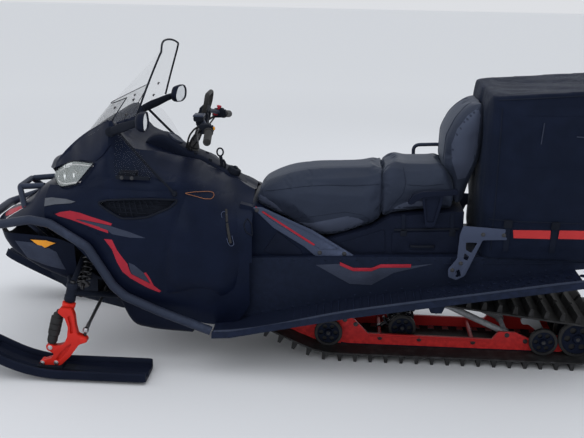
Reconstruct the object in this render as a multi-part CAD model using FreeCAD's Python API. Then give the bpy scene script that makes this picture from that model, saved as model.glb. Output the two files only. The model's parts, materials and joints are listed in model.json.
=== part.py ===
import FreeCAD, Part
import math
import os

# A two-up utility snowmobile with a fitted cargo bag, in millimetres.
# +X points forward, +Y to the machine's left side, +Z up.
# The origin is on the ground, under the middle of the machine's box.

V = FreeCAD.Vector

# Track and drive
TRACK_WIDTH = 500.0
TRACK_PITCH = 72.64
BELT = 8.0
LUG_HEIGHT = 38.0
LUG_BASE = 26.0
LUG_TOP = 14.0
LUG_BANDS = ((-242.0, -92.0), (-66.0, 66.0), (92.0, 242.0))
SPROCKET_X = 262.0
SPROCKET_Z = 330.0
SPROCKET_RADIUS = 88.0
REAR_WHEEL_X = -1384.0
REAR_WHEEL_RADIUS = 92.0
FRONT_BEND_X = -250.0
FRONT_BEND_RADIUS = 420.0
RUN_GAP = 0.3

# Slide rails and wheels inside the track
RAIL_Y = 130.0
RAIL_THICKNESS = 14.0
RAIL_SHOE = 2.0
ROAD_WHEEL_RADIUS = 68.0
WHEEL_WIDTH = 24.0
AXLE_RADIUS = 10.0
INNER_WHEEL_Y = 70.0
OUTER_WHEEL_Y = 176.0
ARM_TUBE = 15.0
SHOCK_RADIUS = 24.0

# Tunnel and running boards
TUNNEL_INNER = 262.0
TUNNEL_WALL = 4.0
TUNNEL_FRONT_X = 424.0
TUNNEL_REAR_X = -1560.0
TUNNEL_TOP_FRONT = 506.0
TUNNEL_TOP_REAR = 590.0
TAIL_PLATE_LOW = 500.0
TIE_DOWN_INSET = 34.0
TIE_DOWN_X = TUNNEL_REAR_X + TIE_DOWN_INSET
TIE_DOWN_SPACING = 360.0
TIE_DOWN_RADIUS = 4.25
BOARD_OUTER = 436.0
BOARD_THICKNESS = 6.0
BOARD_EDGE = 30.0
BOARD_EDGE_WIDTH = 16.0
BOARD_EDGE_RISE = 8.0
BOARD_REAR_X = -1500.0

# Skis and steering
SKI_Y = 500.0
SKI_WIDTH = 176.0
SKI_BASE = 12.0
SKI_SKIN = 12.0
SKI_RIM = 44.0
SKI_RIM_WIDTH = 14.0
SKI_TAIL_X = 608.0
SKI_BEND_X = 1000.0
SKI_BEND_RADIUS = 640.0
SKI_BEND_ANGLE = 25.0
SKI_TIP_X = 1636.0
RUNNER_WIDTH = 16.0
SADDLE_TOP = 50.0
SPINDLE_THICKNESS = 34.0
KNUCKLE_X = 975.0
KNUCKLE_Y = 462.0
KNUCKLE_Z = 345.0
KNUCKLE_RADIUS = 26.0
KNUCKLE_LENGTH = 90.0
KNUCKLE_GAP = 5.0
HEAD_RADIUS = 30.0
HEAD_LENGTH = 56.0
KINGPIN_RADIUS = 12.0
KINGPIN_LEAN_X = -0.21
KINGPIN_LEAN_Y = -0.04
STEER_POST_RADIUS = 14.0
POST_BELOW = 60.0
# Bar clamp: x from, x to, half width, z from, z to
CLAMP = (398.0, 466.0, 42.0, 1084.0, 1152.0)
POST_LOW = (500.0, 0.0, 905.0)
POST_TOP = (444.0, 0.0, 1083.0)
BAR_RADIUS = 11.0
GRIP_RADIUS = 17.0
GRIP_LENGTH = 125.0

# Body panels
PANEL = 6.0
PANEL_GAP = 3.0
CORE_LOW = 700.0
SCREEN_THICKNESS = 4.0
TUBE_BUMPER = 14.0
SIDE_TUBE = 21.0

# Radial play of pins and shafts in their bores
PIVOT_PLAY = 0.05

# Seats and bag
TANK_HALF = 235.0
SEAT_INSET = 30.0
SEAT_HALF = TANK_HALF - SEAT_INSET
SOFT_GAP = 0.3
BAG_HALF = 325.0
BAG_FRONT_X = -872.0
BAG_REAR_X = -1490.0
BAG_TOP_FRONT = 1318.0
BAG_TOP_REAR = 1368.0

EPS = 0.01


def vec(p):
    return V(p[0], p[1], p[2])


def mirrored(shape):
    return shape.mirror(V(0, 0, 0), V(0, 1, 0))


def both_sides(shape):
    return Part.makeCompound([shape, mirrored(shape)])


def polygon(points):
    corners = [vec(p) for p in points]
    return Part.Face(Part.makePolygon(corners + [corners[0]]))


def slab_y(outline, y0, y1):
    """Outline of (x, z) points drawn out from y0 to y1."""
    return polygon([(x, y0, z) for x, z in outline]).extrude(V(0, y1 - y0, 0))


def block(x0, x1, y0, y1, z0, z1):
    return Part.makeBox(x1 - x0, y1 - y0, z1 - z0, V(x0, y0, z0))


def rod(start, end, radius):
    a = vec(start)
    b = vec(end)
    return Part.makeCylinder(radius, (b - a).Length, a, b - a)


def fused(shapes):
    first = shapes[0]
    if len(shapes) == 1:
        return first
    return first.fuse(shapes[1:])


def bent_tube(points, radius, bend):
    """Round bar along straight runs joined by tangent arcs of radius bend."""
    pts = [vec(p) for p in points]
    edges = []
    start = pts[0]
    for before, corner, after in zip(pts, pts[1:], pts[2:]):
        u = (before - corner).normalize()
        w = (after - corner).normalize()
        half = u.getAngle(w) / 2.0
        reach = bend / math.tan(half)
        reach = min(reach, 0.45 * (before - corner).Length, 0.45 * (after - corner).Length)
        arc_radius = reach * math.tan(half)
        a = corner + u * reach
        b = corner + w * reach
        middle = corner + (u + w).normalize() * (arc_radius / math.sin(half) - arc_radius)
        edges.append(Part.LineSegment(start, a).toShape())
        edges.append(Part.Arc(a, middle, b).toShape())
        start = b
    edges.append(Part.LineSegment(start, pts[-1]).toShape())
    path = Part.Wire(edges)
    way = (pts[1] - pts[0]).normalize()
    section = Part.Wire([Part.makeCircle(radius, pts[0], way)])
    return path.makePipeShell([section], True, True)


def facets(faces):
    """Closed solid from flat faces given as lists of points."""
    shell = Part.makeShell([polygon(f) for f in faces])
    solid = Part.makeSolid(shell)
    if solid.Volume < 0:
        solid.reverse()
    return solid


def split_quad(a, b, c, d):
    """A quad as one flat face where it is flat, else as two triangles."""
    normal = (vec(b) - vec(a)).cross(vec(c) - vec(a))
    if normal.Length < EPS:
        return [[a, c, d]]
    off = abs((vec(d) - vec(a)).dot(normal) / normal.Length)
    if off < 1e-4:
        return [[a, b, c, d]]
    if (vec(c) - vec(a)).Length <= (vec(d) - vec(b)).Length:
        return [[a, b, c], [a, c, d]]
    return [[a, b, d], [b, c, d]]


def skin(rows, thickness):
    """Panel of even thickness behind a grid of points, inwards along its normals."""
    count = len(rows)
    width = len(rows[0])
    grid = [[vec(p) for p in row] for row in rows]

    def normal(i, j):
        total = V(0, 0, 0)
        for di, dj in ((0, 0), (0, -1), (-1, 0), (-1, -1)):
            a = i + di
            b = j + dj
            if 0 <= a < count - 1 and 0 <= b < width - 1:
                p = grid[a + 1][b + 1] - grid[a][b]
                q = grid[a][b + 1] - grid[a + 1][b]
                total = total + p.cross(q).normalize()
        return total.normalize()

    inner = []
    for i in range(count):
        inner.append([grid[i][j] + normal(i, j) * thickness for j in range(width)])
    faces = []
    for i in range(count - 1):
        for j in range(width - 1):
            faces += split_quad(grid[i][j], grid[i][j + 1], grid[i + 1][j + 1], grid[i + 1][j])
            faces += split_quad(inner[i][j], inner[i + 1][j], inner[i + 1][j + 1], inner[i][j + 1])
    for i in range(count - 1):
        for j in (0, width - 1):
            faces += split_quad(grid[i][j], grid[i + 1][j], inner[i + 1][j], inner[i][j])
    for j in range(width - 1):
        for i in (0, count - 1):
            faces += split_quad(grid[i][j], grid[i][j + 1], inner[i][j + 1], inner[i][j])
    return facets(faces)


def stack(sections):
    """Solid through closed sections with the same number of points."""
    faces = [list(reversed(sections[0])), list(sections[-1])]
    count = len(sections[0])
    for low, high in zip(sections, sections[1:]):
        for k in range(count):
            n = (k + 1) % count
            faces += split_quad(low[k], low[n], high[n], high[k])
    return facets(faces)


# The track's way: drive sprocket, front bend, rear wheel, as circles that it wraps
BEND_Z = LUG_HEIGHT + BELT + FRONT_BEND_RADIUS
REAR_WHEEL_Z = LUG_HEIGHT + BELT + REAR_WHEEL_RADIUS


def tangent(c1, r1, c2, r2, side):
    """Points where a straight run leaves circle 1 and meets circle 2."""
    dx = c2[0] - c1[0]
    dz = c2[1] - c1[1]
    d = math.hypot(dx, dz)
    base = math.atan2(dz, dx)
    lean = side * math.acos((r1 - r2) / d)
    nx = math.cos(base + lean)
    nz = math.sin(base + lean)
    return (c1[0] + r1 * nx, c1[1] + r1 * nz), (c2[0] + r2 * nx, c2[1] + r2 * nz)


def track_runs(offset):
    """Straight runs and arcs of the track at this offset outside its inner face."""
    sprocket = (SPROCKET_X, SPROCKET_Z)
    bend = (FRONT_BEND_X, BEND_Z)
    wheel = (REAR_WHEEL_X, REAR_WHEEL_Z)
    r1 = SPROCKET_RADIUS + offset
    r2 = FRONT_BEND_RADIUS + offset
    r3 = REAR_WHEEL_RADIUS + offset
    top_rear, top_front = tangent(wheel, r3, sprocket, r1, 1)
    low_front, low_bend = tangent(sprocket, r1, bend, r2, 1)
    flat_front, flat_rear = tangent(bend, r2, wheel, r3, 1)
    return [
        ("line", top_rear, top_front, None, 0),
        ("arc", top_front, low_front, sprocket, r1),
        ("line", low_front, low_bend, None, 0),
        ("arc", low_bend, flat_front, bend, r2),
        ("line", flat_front, flat_rear, None, 0),
        ("arc", flat_rear, top_rear, wheel, r3),
    ]


def run_length(run):
    kind, a, b, centre, radius = run
    if kind == "line":
        return math.hypot(b[0] - a[0], b[1] - a[1])
    return radius * run_turn(run)


def run_turn(run):
    kind, a, b, centre, radius = run
    start = math.atan2(a[1] - centre[1], a[0] - centre[0])
    end = math.atan2(b[1] - centre[1], b[0] - centre[0])
    return (start - end) % (2 * math.pi)


def run_point(run, distance):
    """Point on a run and the outward direction there."""
    kind, a, b, centre, radius = run
    if kind == "line":
        length = run_length(run)
        t = distance / length
        ux = (b[0] - a[0]) / length
        uz = (b[1] - a[1]) / length
        return (a[0] + (b[0] - a[0]) * t, a[1] + (b[1] - a[1]) * t), (-uz, ux)
    start = math.atan2(a[1] - centre[1], a[0] - centre[0])
    angle = start - distance / radius
    nx = math.cos(angle)
    nz = math.sin(angle)
    return (centre[0] + radius * nx, centre[1] + radius * nz), (nx, nz)


def loop_face(offset, y):
    edges = []
    for run in track_runs(offset):
        kind, a, b, centre, radius = run
        if kind == "line":
            edges.append(Part.LineSegment(V(a[0], y, a[1]), V(b[0], y, b[1])).toShape())
        else:
            m, n = run_point(run, run_length(run) / 2)
            edges.append(Part.Arc(V(a[0], y, a[1]), V(m[0], y, m[1]), V(b[0], y, b[1])).toShape())
    return Part.Face(Part.Wire(edges))


def band(low, high, y0, y1):
    """Ring between two offsets of the track's inner face."""
    outer = loop_face(high, y0).extrude(V(0, y1 - y0, 0))
    inner = loop_face(low, y0 - 1).extrude(V(0, y1 - y0 + 2, 0))
    return outer.cut(inner)


def lug(point, out, y0, y1):
    tx = out[1]
    tz = -out[0]
    half = LUG_BASE / 2
    tip = LUG_TOP / 2
    corners = []
    for along, up in ((-half, -1.0), (half, -1.0), (tip, LUG_HEIGHT), (-tip, LUG_HEIGHT)):
        corners.append((point[0] + tx * along + out[0] * up, point[1] + tz * along + out[1] * up))
    return slab_y(corners, y0, y1)


def make_track():
    runs = track_runs(BELT)
    total = sum(run_length(r) for r in runs)
    count = round(total / TRACK_PITCH)
    step = total / count
    half = TRACK_WIDTH / 2
    belt = band(0, BELT, -half, half)
    lugs = []
    place = step / 2
    passed = 0.0
    for run in runs:
        length = run_length(run)
        while place < passed + length - EPS:
            point, out = run_point(run, place - passed)
            for y0, y1 in LUG_BANDS:
                lugs.append(lug(point, out, y0, y1))
            place += step
        passed += length
    print("track length", round(total), "pitches", count)
    return belt.fuse(lugs)


def wheel(x, z, radius, y):
    return rod((x, y - WHEEL_WIDTH / 2, z), (x, y + WHEEL_WIDTH / 2, z), radius)


def inner_z(x):
    """Height of the track's inner face under x."""
    for run in track_runs(0)[2:5]:
        kind, a, b, centre, radius = run
        if min(a[0], b[0]) - EPS <= x <= max(a[0], b[0]) + EPS:
            if kind == "line":
                return a[1] + (b[1] - a[1]) * (x - a[0]) / (b[0] - a[0])
            return centre[1] - math.sqrt(radius ** 2 - (x - centre[0]) ** 2)
    return LUG_HEIGHT + BELT


# Road wheels on the rails: x place and sides
ROAD_WHEELS = ((-199.0, "outer"), (-560.0, "inner"), (-1225.0, "outer"))


def road_wheel_z(x):
    """Height at which a road wheel just clears the track below it."""
    height = LUG_HEIGHT + BELT + ROAD_WHEEL_RADIUS
    if x > FRONT_BEND_X:
        reach = FRONT_BEND_RADIUS - ROAD_WHEEL_RADIUS - RUN_GAP
        return BEND_Z - math.sqrt(reach ** 2 - (x - FRONT_BEND_X) ** 2)
    return height + RUN_GAP


def make_idlers():
    pieces = []
    for x, side in ROAD_WHEELS:
        z = road_wheel_z(x)
        y = OUTER_WHEEL_Y if side == "outer" else INNER_WHEEL_Y
        reach = y + WHEEL_WIDTH / 2 + 6
        solid = rod((x, -reach, z), (x, reach, z), AXLE_RADIUS)
        wheels = [wheel(x, z, ROAD_WHEEL_RADIUS, y), wheel(x, z, ROAD_WHEEL_RADIUS, -y)]
        pieces.append(fused([solid] + wheels))
    reach = OUTER_WHEEL_Y + WHEEL_WIDTH / 2 + 6
    big = REAR_WHEEL_RADIUS - RUN_GAP
    rear = [rod((REAR_WHEEL_X, -reach, REAR_WHEEL_Z), (REAR_WHEEL_X, reach, REAR_WHEEL_Z), AXLE_RADIUS)]
    for y in (-OUTER_WHEEL_Y, -INNER_WHEEL_Y, INNER_WHEEL_Y, OUTER_WHEEL_Y):
        rear.append(wheel(REAR_WHEEL_X, REAR_WHEEL_Z, big, y))
    pieces.append(fused(rear))
    return Part.makeCompound(pieces)


def make_drive_axle():
    radius = SPROCKET_RADIUS - RUN_GAP
    low = (SPROCKET_X, -TUNNEL_INNER, SPROCKET_Z)
    high = (SPROCKET_X, TUNNEL_INNER, SPROCKET_Z)
    pieces = [rod(low, high, AXLE_RADIUS)]
    for y in (-OUTER_WHEEL_Y, -INNER_WHEEL_Y, INNER_WHEEL_Y, OUTER_WHEEL_Y):
        pieces.append(wheel(SPROCKET_X, SPROCKET_Z, radius, y))
    return fused(pieces)


# Suspension points in the side view: x, z
FRONT_ARM_TOP = (60.0, 300.0)
FRONT_ARM_LOW = (-277.0, 165.0)
REAR_ARM_TOP = (-700.0, 282.0)
REAR_ARM_LOW = (-1060.0, 120.0)
ARM_Y = 95.0
PIVOT_RADIUS = 12.0
RAIL_BARS = ((75.0, 188.0), (-150.0, 110.0), (-450.0, 84.0), (-900.0, 80.0))
SKID_SHOCKS = (((-150.0, 110.0), FRONT_ARM_TOP), ((-450.0, 84.0), REAR_ARM_TOP))


def make_rails():
    """Two upright rails, their feet in line with the track, and their cross bars."""
    low = RAIL_SHOE
    outline = []
    for x in (100.0, 20.0, -60.0, -130.0, -200.0, -260.0):
        outline.append((x, inner_z(x) + low))
    rear = REAR_WHEEL_X - 20
    outline.append((rear, LUG_HEIGHT + BELT + low + 40))
    outline.insert(len(outline) - 1, (REAR_WHEEL_X + 70, LUG_HEIGHT + BELT + low))
    top = [
        (rear, REAR_WHEEL_Z + 18),
        (REAR_WHEEL_X + 20, REAR_WHEEL_Z + 18),
        (-1300.0, 128.0),
        (-1190.0, 100.0),
        (-1100.0, 140.0),
        (-1020.0, 140.0),
        (-990.0, 100.0),
        (-390.0, 104.0),
        (-320.0, 178.0),
        (-277.0, 192.0),
        (-235.0, 178.0),
        (-225.0, 150.0),
        (-120.0, 160.0),
        (60.0, 205.0),
        (100.0, 200.0),
    ]
    y0 = RAIL_Y - RAIL_THICKNESS / 2
    rail = slab_y(outline + top, y0, y0 + RAIL_THICKNESS)
    bars = []
    for x, z in RAIL_BARS:
        bars.append(rod((x, -y0, z), (x, y0, z), AXLE_RADIUS))
    return fused([rail, mirrored(rail)] + bars).cut(make_idlers())


def arm(top, low):
    """Welded arm: two side tubes between a top shaft and a low shaft."""
    half = TUNNEL_INNER
    inside = RAIL_Y - RAIL_THICKNESS / 2
    parts = [
        rod((top[0], -half, top[1]), (top[0], half, top[1]), PIVOT_RADIUS),
        rod((low[0], -inside, low[1]), (low[0], inside, low[1]), PIVOT_RADIUS),
    ]
    for side in (-1, 1):
        parts.append(rod((top[0], side * ARM_Y, top[1]), (low[0], side * ARM_Y, low[1]), ARM_TUBE))
    return fused(parts)


def make_skid_arms():
    return Part.makeCompound([arm(FRONT_ARM_TOP, FRONT_ARM_LOW), arm(REAR_ARM_TOP, REAR_ARM_LOW)])


def damper(low, high, radius, rod_radius, y=0.0):
    """Closed damper from eye to eye: a thin rod, and a body with its spring."""
    a = V(low[0], y, low[1]) if len(low) == 2 else vec(low)
    b = V(high[0], y, high[1]) if len(high) == 2 else vec(high)
    way = b - a
    split = a + way * 0.3
    thin = Part.makeCylinder(rod_radius, way.Length * 0.3 + 1, a, way)
    fat = Part.makeCylinder(radius, way.Length * 0.62, split, way)
    neck = Part.makeCylinder(rod_radius, way.Length * 0.08 + 1, split + way * 0.615, way)
    return fused([thin, fat, neck])


def make_skid_shocks(arms, rails):
    """Two dampers on the middle line, each with an eye at both ends."""
    pieces = []
    for low, high in SKID_SHOCKS:
        eyes = []
        for x, z in (low, high):
            eyes.append(rod((x, -18.0, z), (x, 18.0, z), 19.0))
        pieces.append(fused([damper(low, high, SHOCK_RADIUS, 9.0)] + eyes))
    return Part.makeCompound(pieces).cut(Part.makeCompound([arms, rails]))


def tunnel_top(x):
    t = (x - TUNNEL_FRONT_X) / (TUNNEL_REAR_X - TUNNEL_FRONT_X)
    return TUNNEL_TOP_FRONT + (TUNNEL_TOP_REAR - TUNNEL_TOP_FRONT) * t


# Running boards and the tunnel's lower edge, front to rear: x, z
BOARD_LINE = ((330.0, 206.0), (248.0, 212.0), (-296.0, 332.0), (-868.0, 436.0), (-1314.0, 514.0),
              (TUNNEL_REAR_X, 545.0))
# Plate on each side of the tunnel that hangs down to the rear suspension arm: x, z
HANGER_OUTLINE = ((-610.0, 400.0), (-790.0, 430.0), (-725.0, 275.0), (-675.0, 275.0))


def board_z(x):
    for (x0, z0), (x1, z1) in zip(BOARD_LINE, BOARD_LINE[1:]):
        if x1 <= x <= x0:
            return z0 + (z1 - z0) * (x0 - x) / (x0 - x1)
    return BOARD_LINE[0][1] if x > BOARD_LINE[0][0] else BOARD_LINE[-1][1]


def make_tunnel():
    outer = TUNNEL_INNER + TUNNEL_WALL
    side = [(TUNNEL_FRONT_X, TUNNEL_TOP_FRONT), (TUNNEL_REAR_X, TUNNEL_TOP_REAR)]
    side += [(x, z) for x, z in reversed(BOARD_LINE)]
    side += [(TUNNEL_FRONT_X, BOARD_LINE[0][1] + 60)]
    wall = slab_y(side, TUNNEL_INNER, outer)
    roof_low = [(x, z - TUNNEL_WALL) for x, z in side[:2]]
    roof = slab_y([side[0], side[1], roof_low[1], roof_low[0]], -TUNNEL_INNER, TUNNEL_INNER)
    hanger = slab_y(HANGER_OUTLINE, TUNNEL_INNER, outer)
    front = block(TUNNEL_FRONT_X, TUNNEL_FRONT_X + TUNNEL_WALL, -outer, outer,
                  BOARD_LINE[0][1] + 60, TUNNEL_TOP_FRONT)
    rear = block(TUNNEL_REAR_X, TUNNEL_REAR_X + TUNNEL_WALL, -outer, outer,
                 TAIL_PLATE_LOW, TUNNEL_TOP_REAR - TUNNEL_WALL)
    holes = []
    for side in (-1, 1):
        y = side * TIE_DOWN_SPACING / 2
        roof_z = tunnel_top(TIE_DOWN_X)
        reach = 3 * TUNNEL_WALL
        holes.append(rod((TIE_DOWN_X, y, roof_z - reach), (TIE_DOWN_X, y, roof_z + reach), TIE_DOWN_RADIUS))
    return fused([wall, mirrored(wall), roof, hanger, mirrored(hanger), front, rear]).cut(holes)


def make_board():
    """Left running board: a plate along the board line with a turned-down edge tube."""
    inner = TUNNEL_INNER + TUNNEL_WALL
    line = [(x, z) for x, z in BOARD_LINE if x > BOARD_REAR_X]
    under = [(x, z - BOARD_THICKNESS) for x, z in line]
    plate = slab_y(line + list(reversed(under)), inner, BOARD_OUTER)
    edge_top = [(x, z + BOARD_EDGE_RISE) for x, z in line]
    edge_low = [(x, z - BOARD_EDGE + BOARD_EDGE_RISE) for x, z in line]
    edge = slab_y(edge_top + list(reversed(edge_low)), BOARD_OUTER, BOARD_OUTER + BOARD_EDGE_WIDTH)
    return plate.fuse(edge)


ENGINE = (470.0, 780.0, -190.0, 190.0, 296.0, 690.0)


def make_engine():
    x0, x1, y0, y1, z0, z1 = ENGINE
    return block(x0, x1, y0, y1, z0, z1)


# Front frame that carries the arms: half-width sections, x, y, low z, high z
FRAME_HALF = 200.0
FRAME_SECTIONS = (
    (TUNNEL_FRONT_X + TUNNEL_WALL, FRAME_HALF, 210.0, 296.0),
    (800.0, 190.0, 210.0, 296.0),
    (1060.0, 120.0, 240.0, 420.0),
    (1180.0, 90.0, 330.0, 520.0),
)

# Damper tower: x from, x to, half width, z from, z to
TOWER = (880.0, 1020.0, 115.0, 340.0, 610.0)
# Slot for the tie rods' inner ends: x from, x to, z from, z to
STEER_SLOT = (845.0, 930.0, 262.0, 340.0)


def make_front_frame():
    """Boxed front frame under the engine, with a tower for the dampers and a steering slot."""
    sections = []
    for x, y, low, high in FRAME_SECTIONS:
        sections.append([(x, -y, low), (x, y, low), (x, y, high), (x, -y, high)])
    x0, x1, y1, z0, z1 = TOWER
    tower = block(x0, x1, -y1, y1, z0, z1)
    sx0, sx1, sz0, sz1 = STEER_SLOT
    slot = block(sx0, sx1, -FRAME_HALF - 1, FRAME_HALF + 1, sz0, sz1)
    return fused([stack(sections), tower]).cut(slot)


# Inner ends of the left front arm's tubes on the frame: x, y, z
ARM_ENDS = ((800.0, 188.0, 268.0), (1080.0, 112.0, 400.0))
UPPER_ARM_END = (975.0, 115.0, 520.0)
ARM_HOLE = 30.0


def kingpin_axis():
    return V(KINGPIN_LEAN_X, KINGPIN_LEAN_Y, 1.0).normalize()


def make_front_arm():
    """Left front arm: two tubes from the frame out to the knuckle's sleeve."""
    centre = V(KNUCKLE_X, KNUCKLE_Y, KNUCKLE_Z)
    way = kingpin_axis()
    sleeve = Part.makeCylinder(KNUCKLE_RADIUS, KNUCKLE_LENGTH, centre, way)
    parts = [sleeve]
    hub = centre + way * 40.0
    for x, y, z in ARM_ENDS:
        parts.append(rod((x, y - 20, z), (hub.x, hub.y, hub.z), 14.0))
    upper = centre + way * 75.0
    x, y, z = UPPER_ARM_END
    parts.append(rod((x, y - 20, z), (upper.x, upper.y, upper.z), 13.0))
    bore = Part.makeCylinder(KINGPIN_RADIUS + PIVOT_PLAY, 200.0, centre - way * 20.0, way)
    return fused(parts).cut(bore)


def ski_line(lift):
    """Side view of the ski's sole raised by lift: tail, flat, bend, straight nose."""
    angle = math.radians(SKI_BEND_ANGLE)
    radius = SKI_BEND_RADIUS - lift
    end_x = SKI_BEND_X + radius * math.sin(angle)
    end_z = SKI_BASE + SKI_BEND_RADIUS - radius * math.cos(angle)
    tip_x = SKI_TIP_X - lift * math.sin(angle)
    tip_z = end_z + (tip_x - end_x) * math.tan(angle)
    mid_x = SKI_BEND_X + radius * math.sin(angle / 2)
    mid_z = SKI_BASE + SKI_BEND_RADIUS - radius * math.cos(angle / 2)
    return (end_x, end_z), (tip_x, tip_z), (mid_x, mid_z)


def ski_strip(low, high, y0, y1, tail):
    end_a, tip_a, mid_a = ski_line(low)
    end_b, tip_b, mid_b = ski_line(high)
    z0 = SKI_BASE + low
    z1 = SKI_BASE + high
    p = [V(x, y0, z) for x, z in ((tail, z0), (SKI_BEND_X, z0), mid_a, end_a, tip_a)]
    q = [V(x, y0, z) for x, z in ((tail, z1), (SKI_BEND_X, z1), mid_b, end_b, tip_b)]
    edges = [
        Part.LineSegment(p[0], p[1]).toShape(),
        Part.Arc(p[1], p[2], p[3]).toShape(),
        Part.LineSegment(p[3], p[4]).toShape(),
        Part.LineSegment(p[4], q[4]).toShape(),
        Part.LineSegment(q[4], q[3]).toShape(),
        Part.Arc(q[3], q[2], q[1]).toShape(),
        Part.LineSegment(q[1], q[0]).toShape(),
        Part.LineSegment(q[0], p[0]).toShape(),
    ]
    return Part.Face(Part.Wire(edges)).extrude(V(0, y1 - y0, 0))


def make_ski():
    """Left ski: sole, two rims, a runner below and a saddle for the foot above."""
    left = SKI_Y + SKI_WIDTH / 2
    right = SKI_Y - SKI_WIDTH / 2
    sole = ski_strip(0.0, SKI_SKIN, right, left, SKI_TAIL_X)
    rim_a = ski_strip(0.0, SKI_RIM, right, right + SKI_RIM_WIDTH, SKI_TAIL_X)
    rim_b = ski_strip(0.0, SKI_RIM, left - SKI_RIM_WIDTH, left, SKI_TAIL_X)
    tip = block(SKI_TIP_X - 60, SKI_TIP_X, right, left, 0.0, 400.0)
    nose = ski_strip(0.0, SKI_RIM, right, left, SKI_TAIL_X).common(tip)
    runner = block(740.0, 1120.0, SKI_Y - RUNNER_WIDTH / 2, SKI_Y + RUNNER_WIDTH / 2, 0.0, SKI_BASE + 1)
    saddle = block(1000.0, 1130.0, SKI_Y - 36, SKI_Y + 36, SKI_BASE + 1, SADDLE_TOP)
    return fused([sole, rim_a, rim_b, nose, runner, saddle])


# Spindle side view on the ski's middle plane: x, z
SPINDLE_OUTLINE = (
    (1018.0, SADDLE_TOP),
    (1112.0, SADDLE_TOP),
    (1112.0, 64.0),
    (1062.0, 84.0),
    (1048.0, 110.0),
    (1078.0, 128.0),
    (1078.0, 150.0),
    (1024.0, 142.0),
    (996.0, 160.0),
    (984.0, 215.0),
    (996.0, 262.0),
    (1012.0, 310.0),
    (952.0, 330.0),
    (940.0, 300.0),
    (930.0, 240.0),
    (922.0, 200.0),
    (890.0, 188.0),
    (886.0, 166.0),
    (925.0, 150.0),
    (966.0, 96.0),
)

# Damper ahead of the leg, lower and upper end: x, z
DAMPER_LOW = (1056.0, 140.0)
DAMPER_HIGH = (1012.0, 316.0)


def make_spindle():
    """Left ski leg: forged upright, head, kingpin, and a stud for the tie rod."""
    y0 = SKI_Y - SPINDLE_THICKNESS / 2
    upright = slab_y(SPINDLE_OUTLINE, y0, y0 + SPINDLE_THICKNESS)
    centre = V(KNUCKLE_X, KNUCKLE_Y, KNUCKLE_Z)
    way = kingpin_axis()
    head = Part.makeCylinder(HEAD_RADIUS, HEAD_LENGTH, centre - way * (HEAD_LENGTH + KNUCKLE_GAP), way)
    foot = centre - way * 2 * KNUCKLE_GAP
    pin = Part.makeCylinder(KINGPIN_RADIUS, KNUCKLE_LENGTH + 2 * KNUCKLE_GAP, foot, way)
    stud = Part.makeCylinder(STUD_RADIUS, STUD_LENGTH, vec(STUD), way)
    return fused([upright, head, pin, stud])


def make_spindle_damper():
    """Short damper ahead of the left leg, from its lower lobe up to its head."""
    low = (DAMPER_LOW[0], SKI_Y, DAMPER_LOW[1])
    high = (DAMPER_HIGH[0], SKI_Y - 14.0, DAMPER_HIGH[1])
    return damper(low, high, 22.0, 9.0).cut(make_spindle())


STUD = (906.0, 494.0, 178.0)
STUD_RADIUS = 7.0
STUD_LENGTH = 54.0
EYE_RADIUS = 14.0
EYE_HEIGHT = 20.0
TIE_INNER = (884.0, 120.0, 305.0)
TIE_RADIUS = 9.0


def make_tie_rod():
    """Left tie rod: an eye round the leg's stud and a bar in towards the frame."""
    way = kingpin_axis()
    low = vec(STUD) + way * (STUD_LENGTH - EYE_HEIGHT - 1.0)
    eye = Part.makeCylinder(EYE_RADIUS, EYE_HEIGHT, low, way)
    bore = Part.makeCylinder(STUD_RADIUS + PIVOT_PLAY, EYE_HEIGHT + 4.0, low - way * 2.0, way)
    middle = low + way * (EYE_HEIGHT / 2)
    bar = Part.makeCylinder(TIE_RADIUS, (vec(TIE_INNER) - middle).Length, middle, vec(TIE_INNER) - middle)
    return fused([eye, bar]).cut(bore)


# Front bumper, left half of its hoop from the frame up: x, y, z
BUMPER_PATH = ((1150.0, 70.0, 490.0), (1246.0, 196.0, 672.0), (1308.0, 88.0, 775.0))
BUMPER_BEND = 36.0
# Stay from the hoop's corner back to the nose deck: x, y, z
BUMPER_STAY = ((1300.0, 88.0, 775.0), (1182.0, 98.0, 786.0))


def make_front_bumper(frame):
    """Hoop above the nose, its legs on the front frame and its stays on the nose deck."""
    left = list(BUMPER_PATH)
    right = [(x, -y, z) for x, y, z in reversed(left)]
    hoop = bent_tube(left + right, TUBE_BUMPER, BUMPER_BEND)
    stay = rod(BUMPER_STAY[0], BUMPER_STAY[1], TUBE_BUMPER)
    return fused([hoop, stay, mirrored(stay)]).cut(frame)


# Lower bumper round the nose, left side, from the middle back: x, y, z
BAND_CORNER = (1080.0, 362.0, 678.0)
BAND_JOIN = (991.5, 376.0, 630.0)
RAIL_CORNER = (903.0, 390.0, 582.0)
LOWER_BUMPER = ((1452.0, 150.0, 628.0), (1335.0, 305.0, 648.0), (1176.0, 352.0, 690.0),
                BAND_CORNER, BAND_JOIN)
SIDE_RAIL = (BAND_JOIN, RAIL_CORNER, (790.0, 396.0, 402.0), (735.0, 396.0, 352.0),
             (580.0, 402.0, 288.0), (338.0, 410.0, 203.0))


# Strut from the lower bumper in to the front frame: outer and inner end
BUMPER_STRUT = ((1196.0, 346.0, 684.0), (1110.0, 60.0, 432.0))
STRUT_RADIUS = 11.0


def make_lower_bumper(frame):
    """Tube round the nose, on a strut from the front frame on each side."""
    left = list(LOWER_BUMPER)
    right = [(x, -y, z) for x, y, z in reversed(left)]
    strut = rod(BUMPER_STRUT[0], BUMPER_STRUT[1], STRUT_RADIUS).cut(frame)
    return fused([bent_tube(right + left, SIDE_TUBE, 60.0), strut, mirrored(strut)])


def make_side_rail():
    return bent_tube(SIDE_RAIL, SIDE_TUBE, 60.0)


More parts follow.
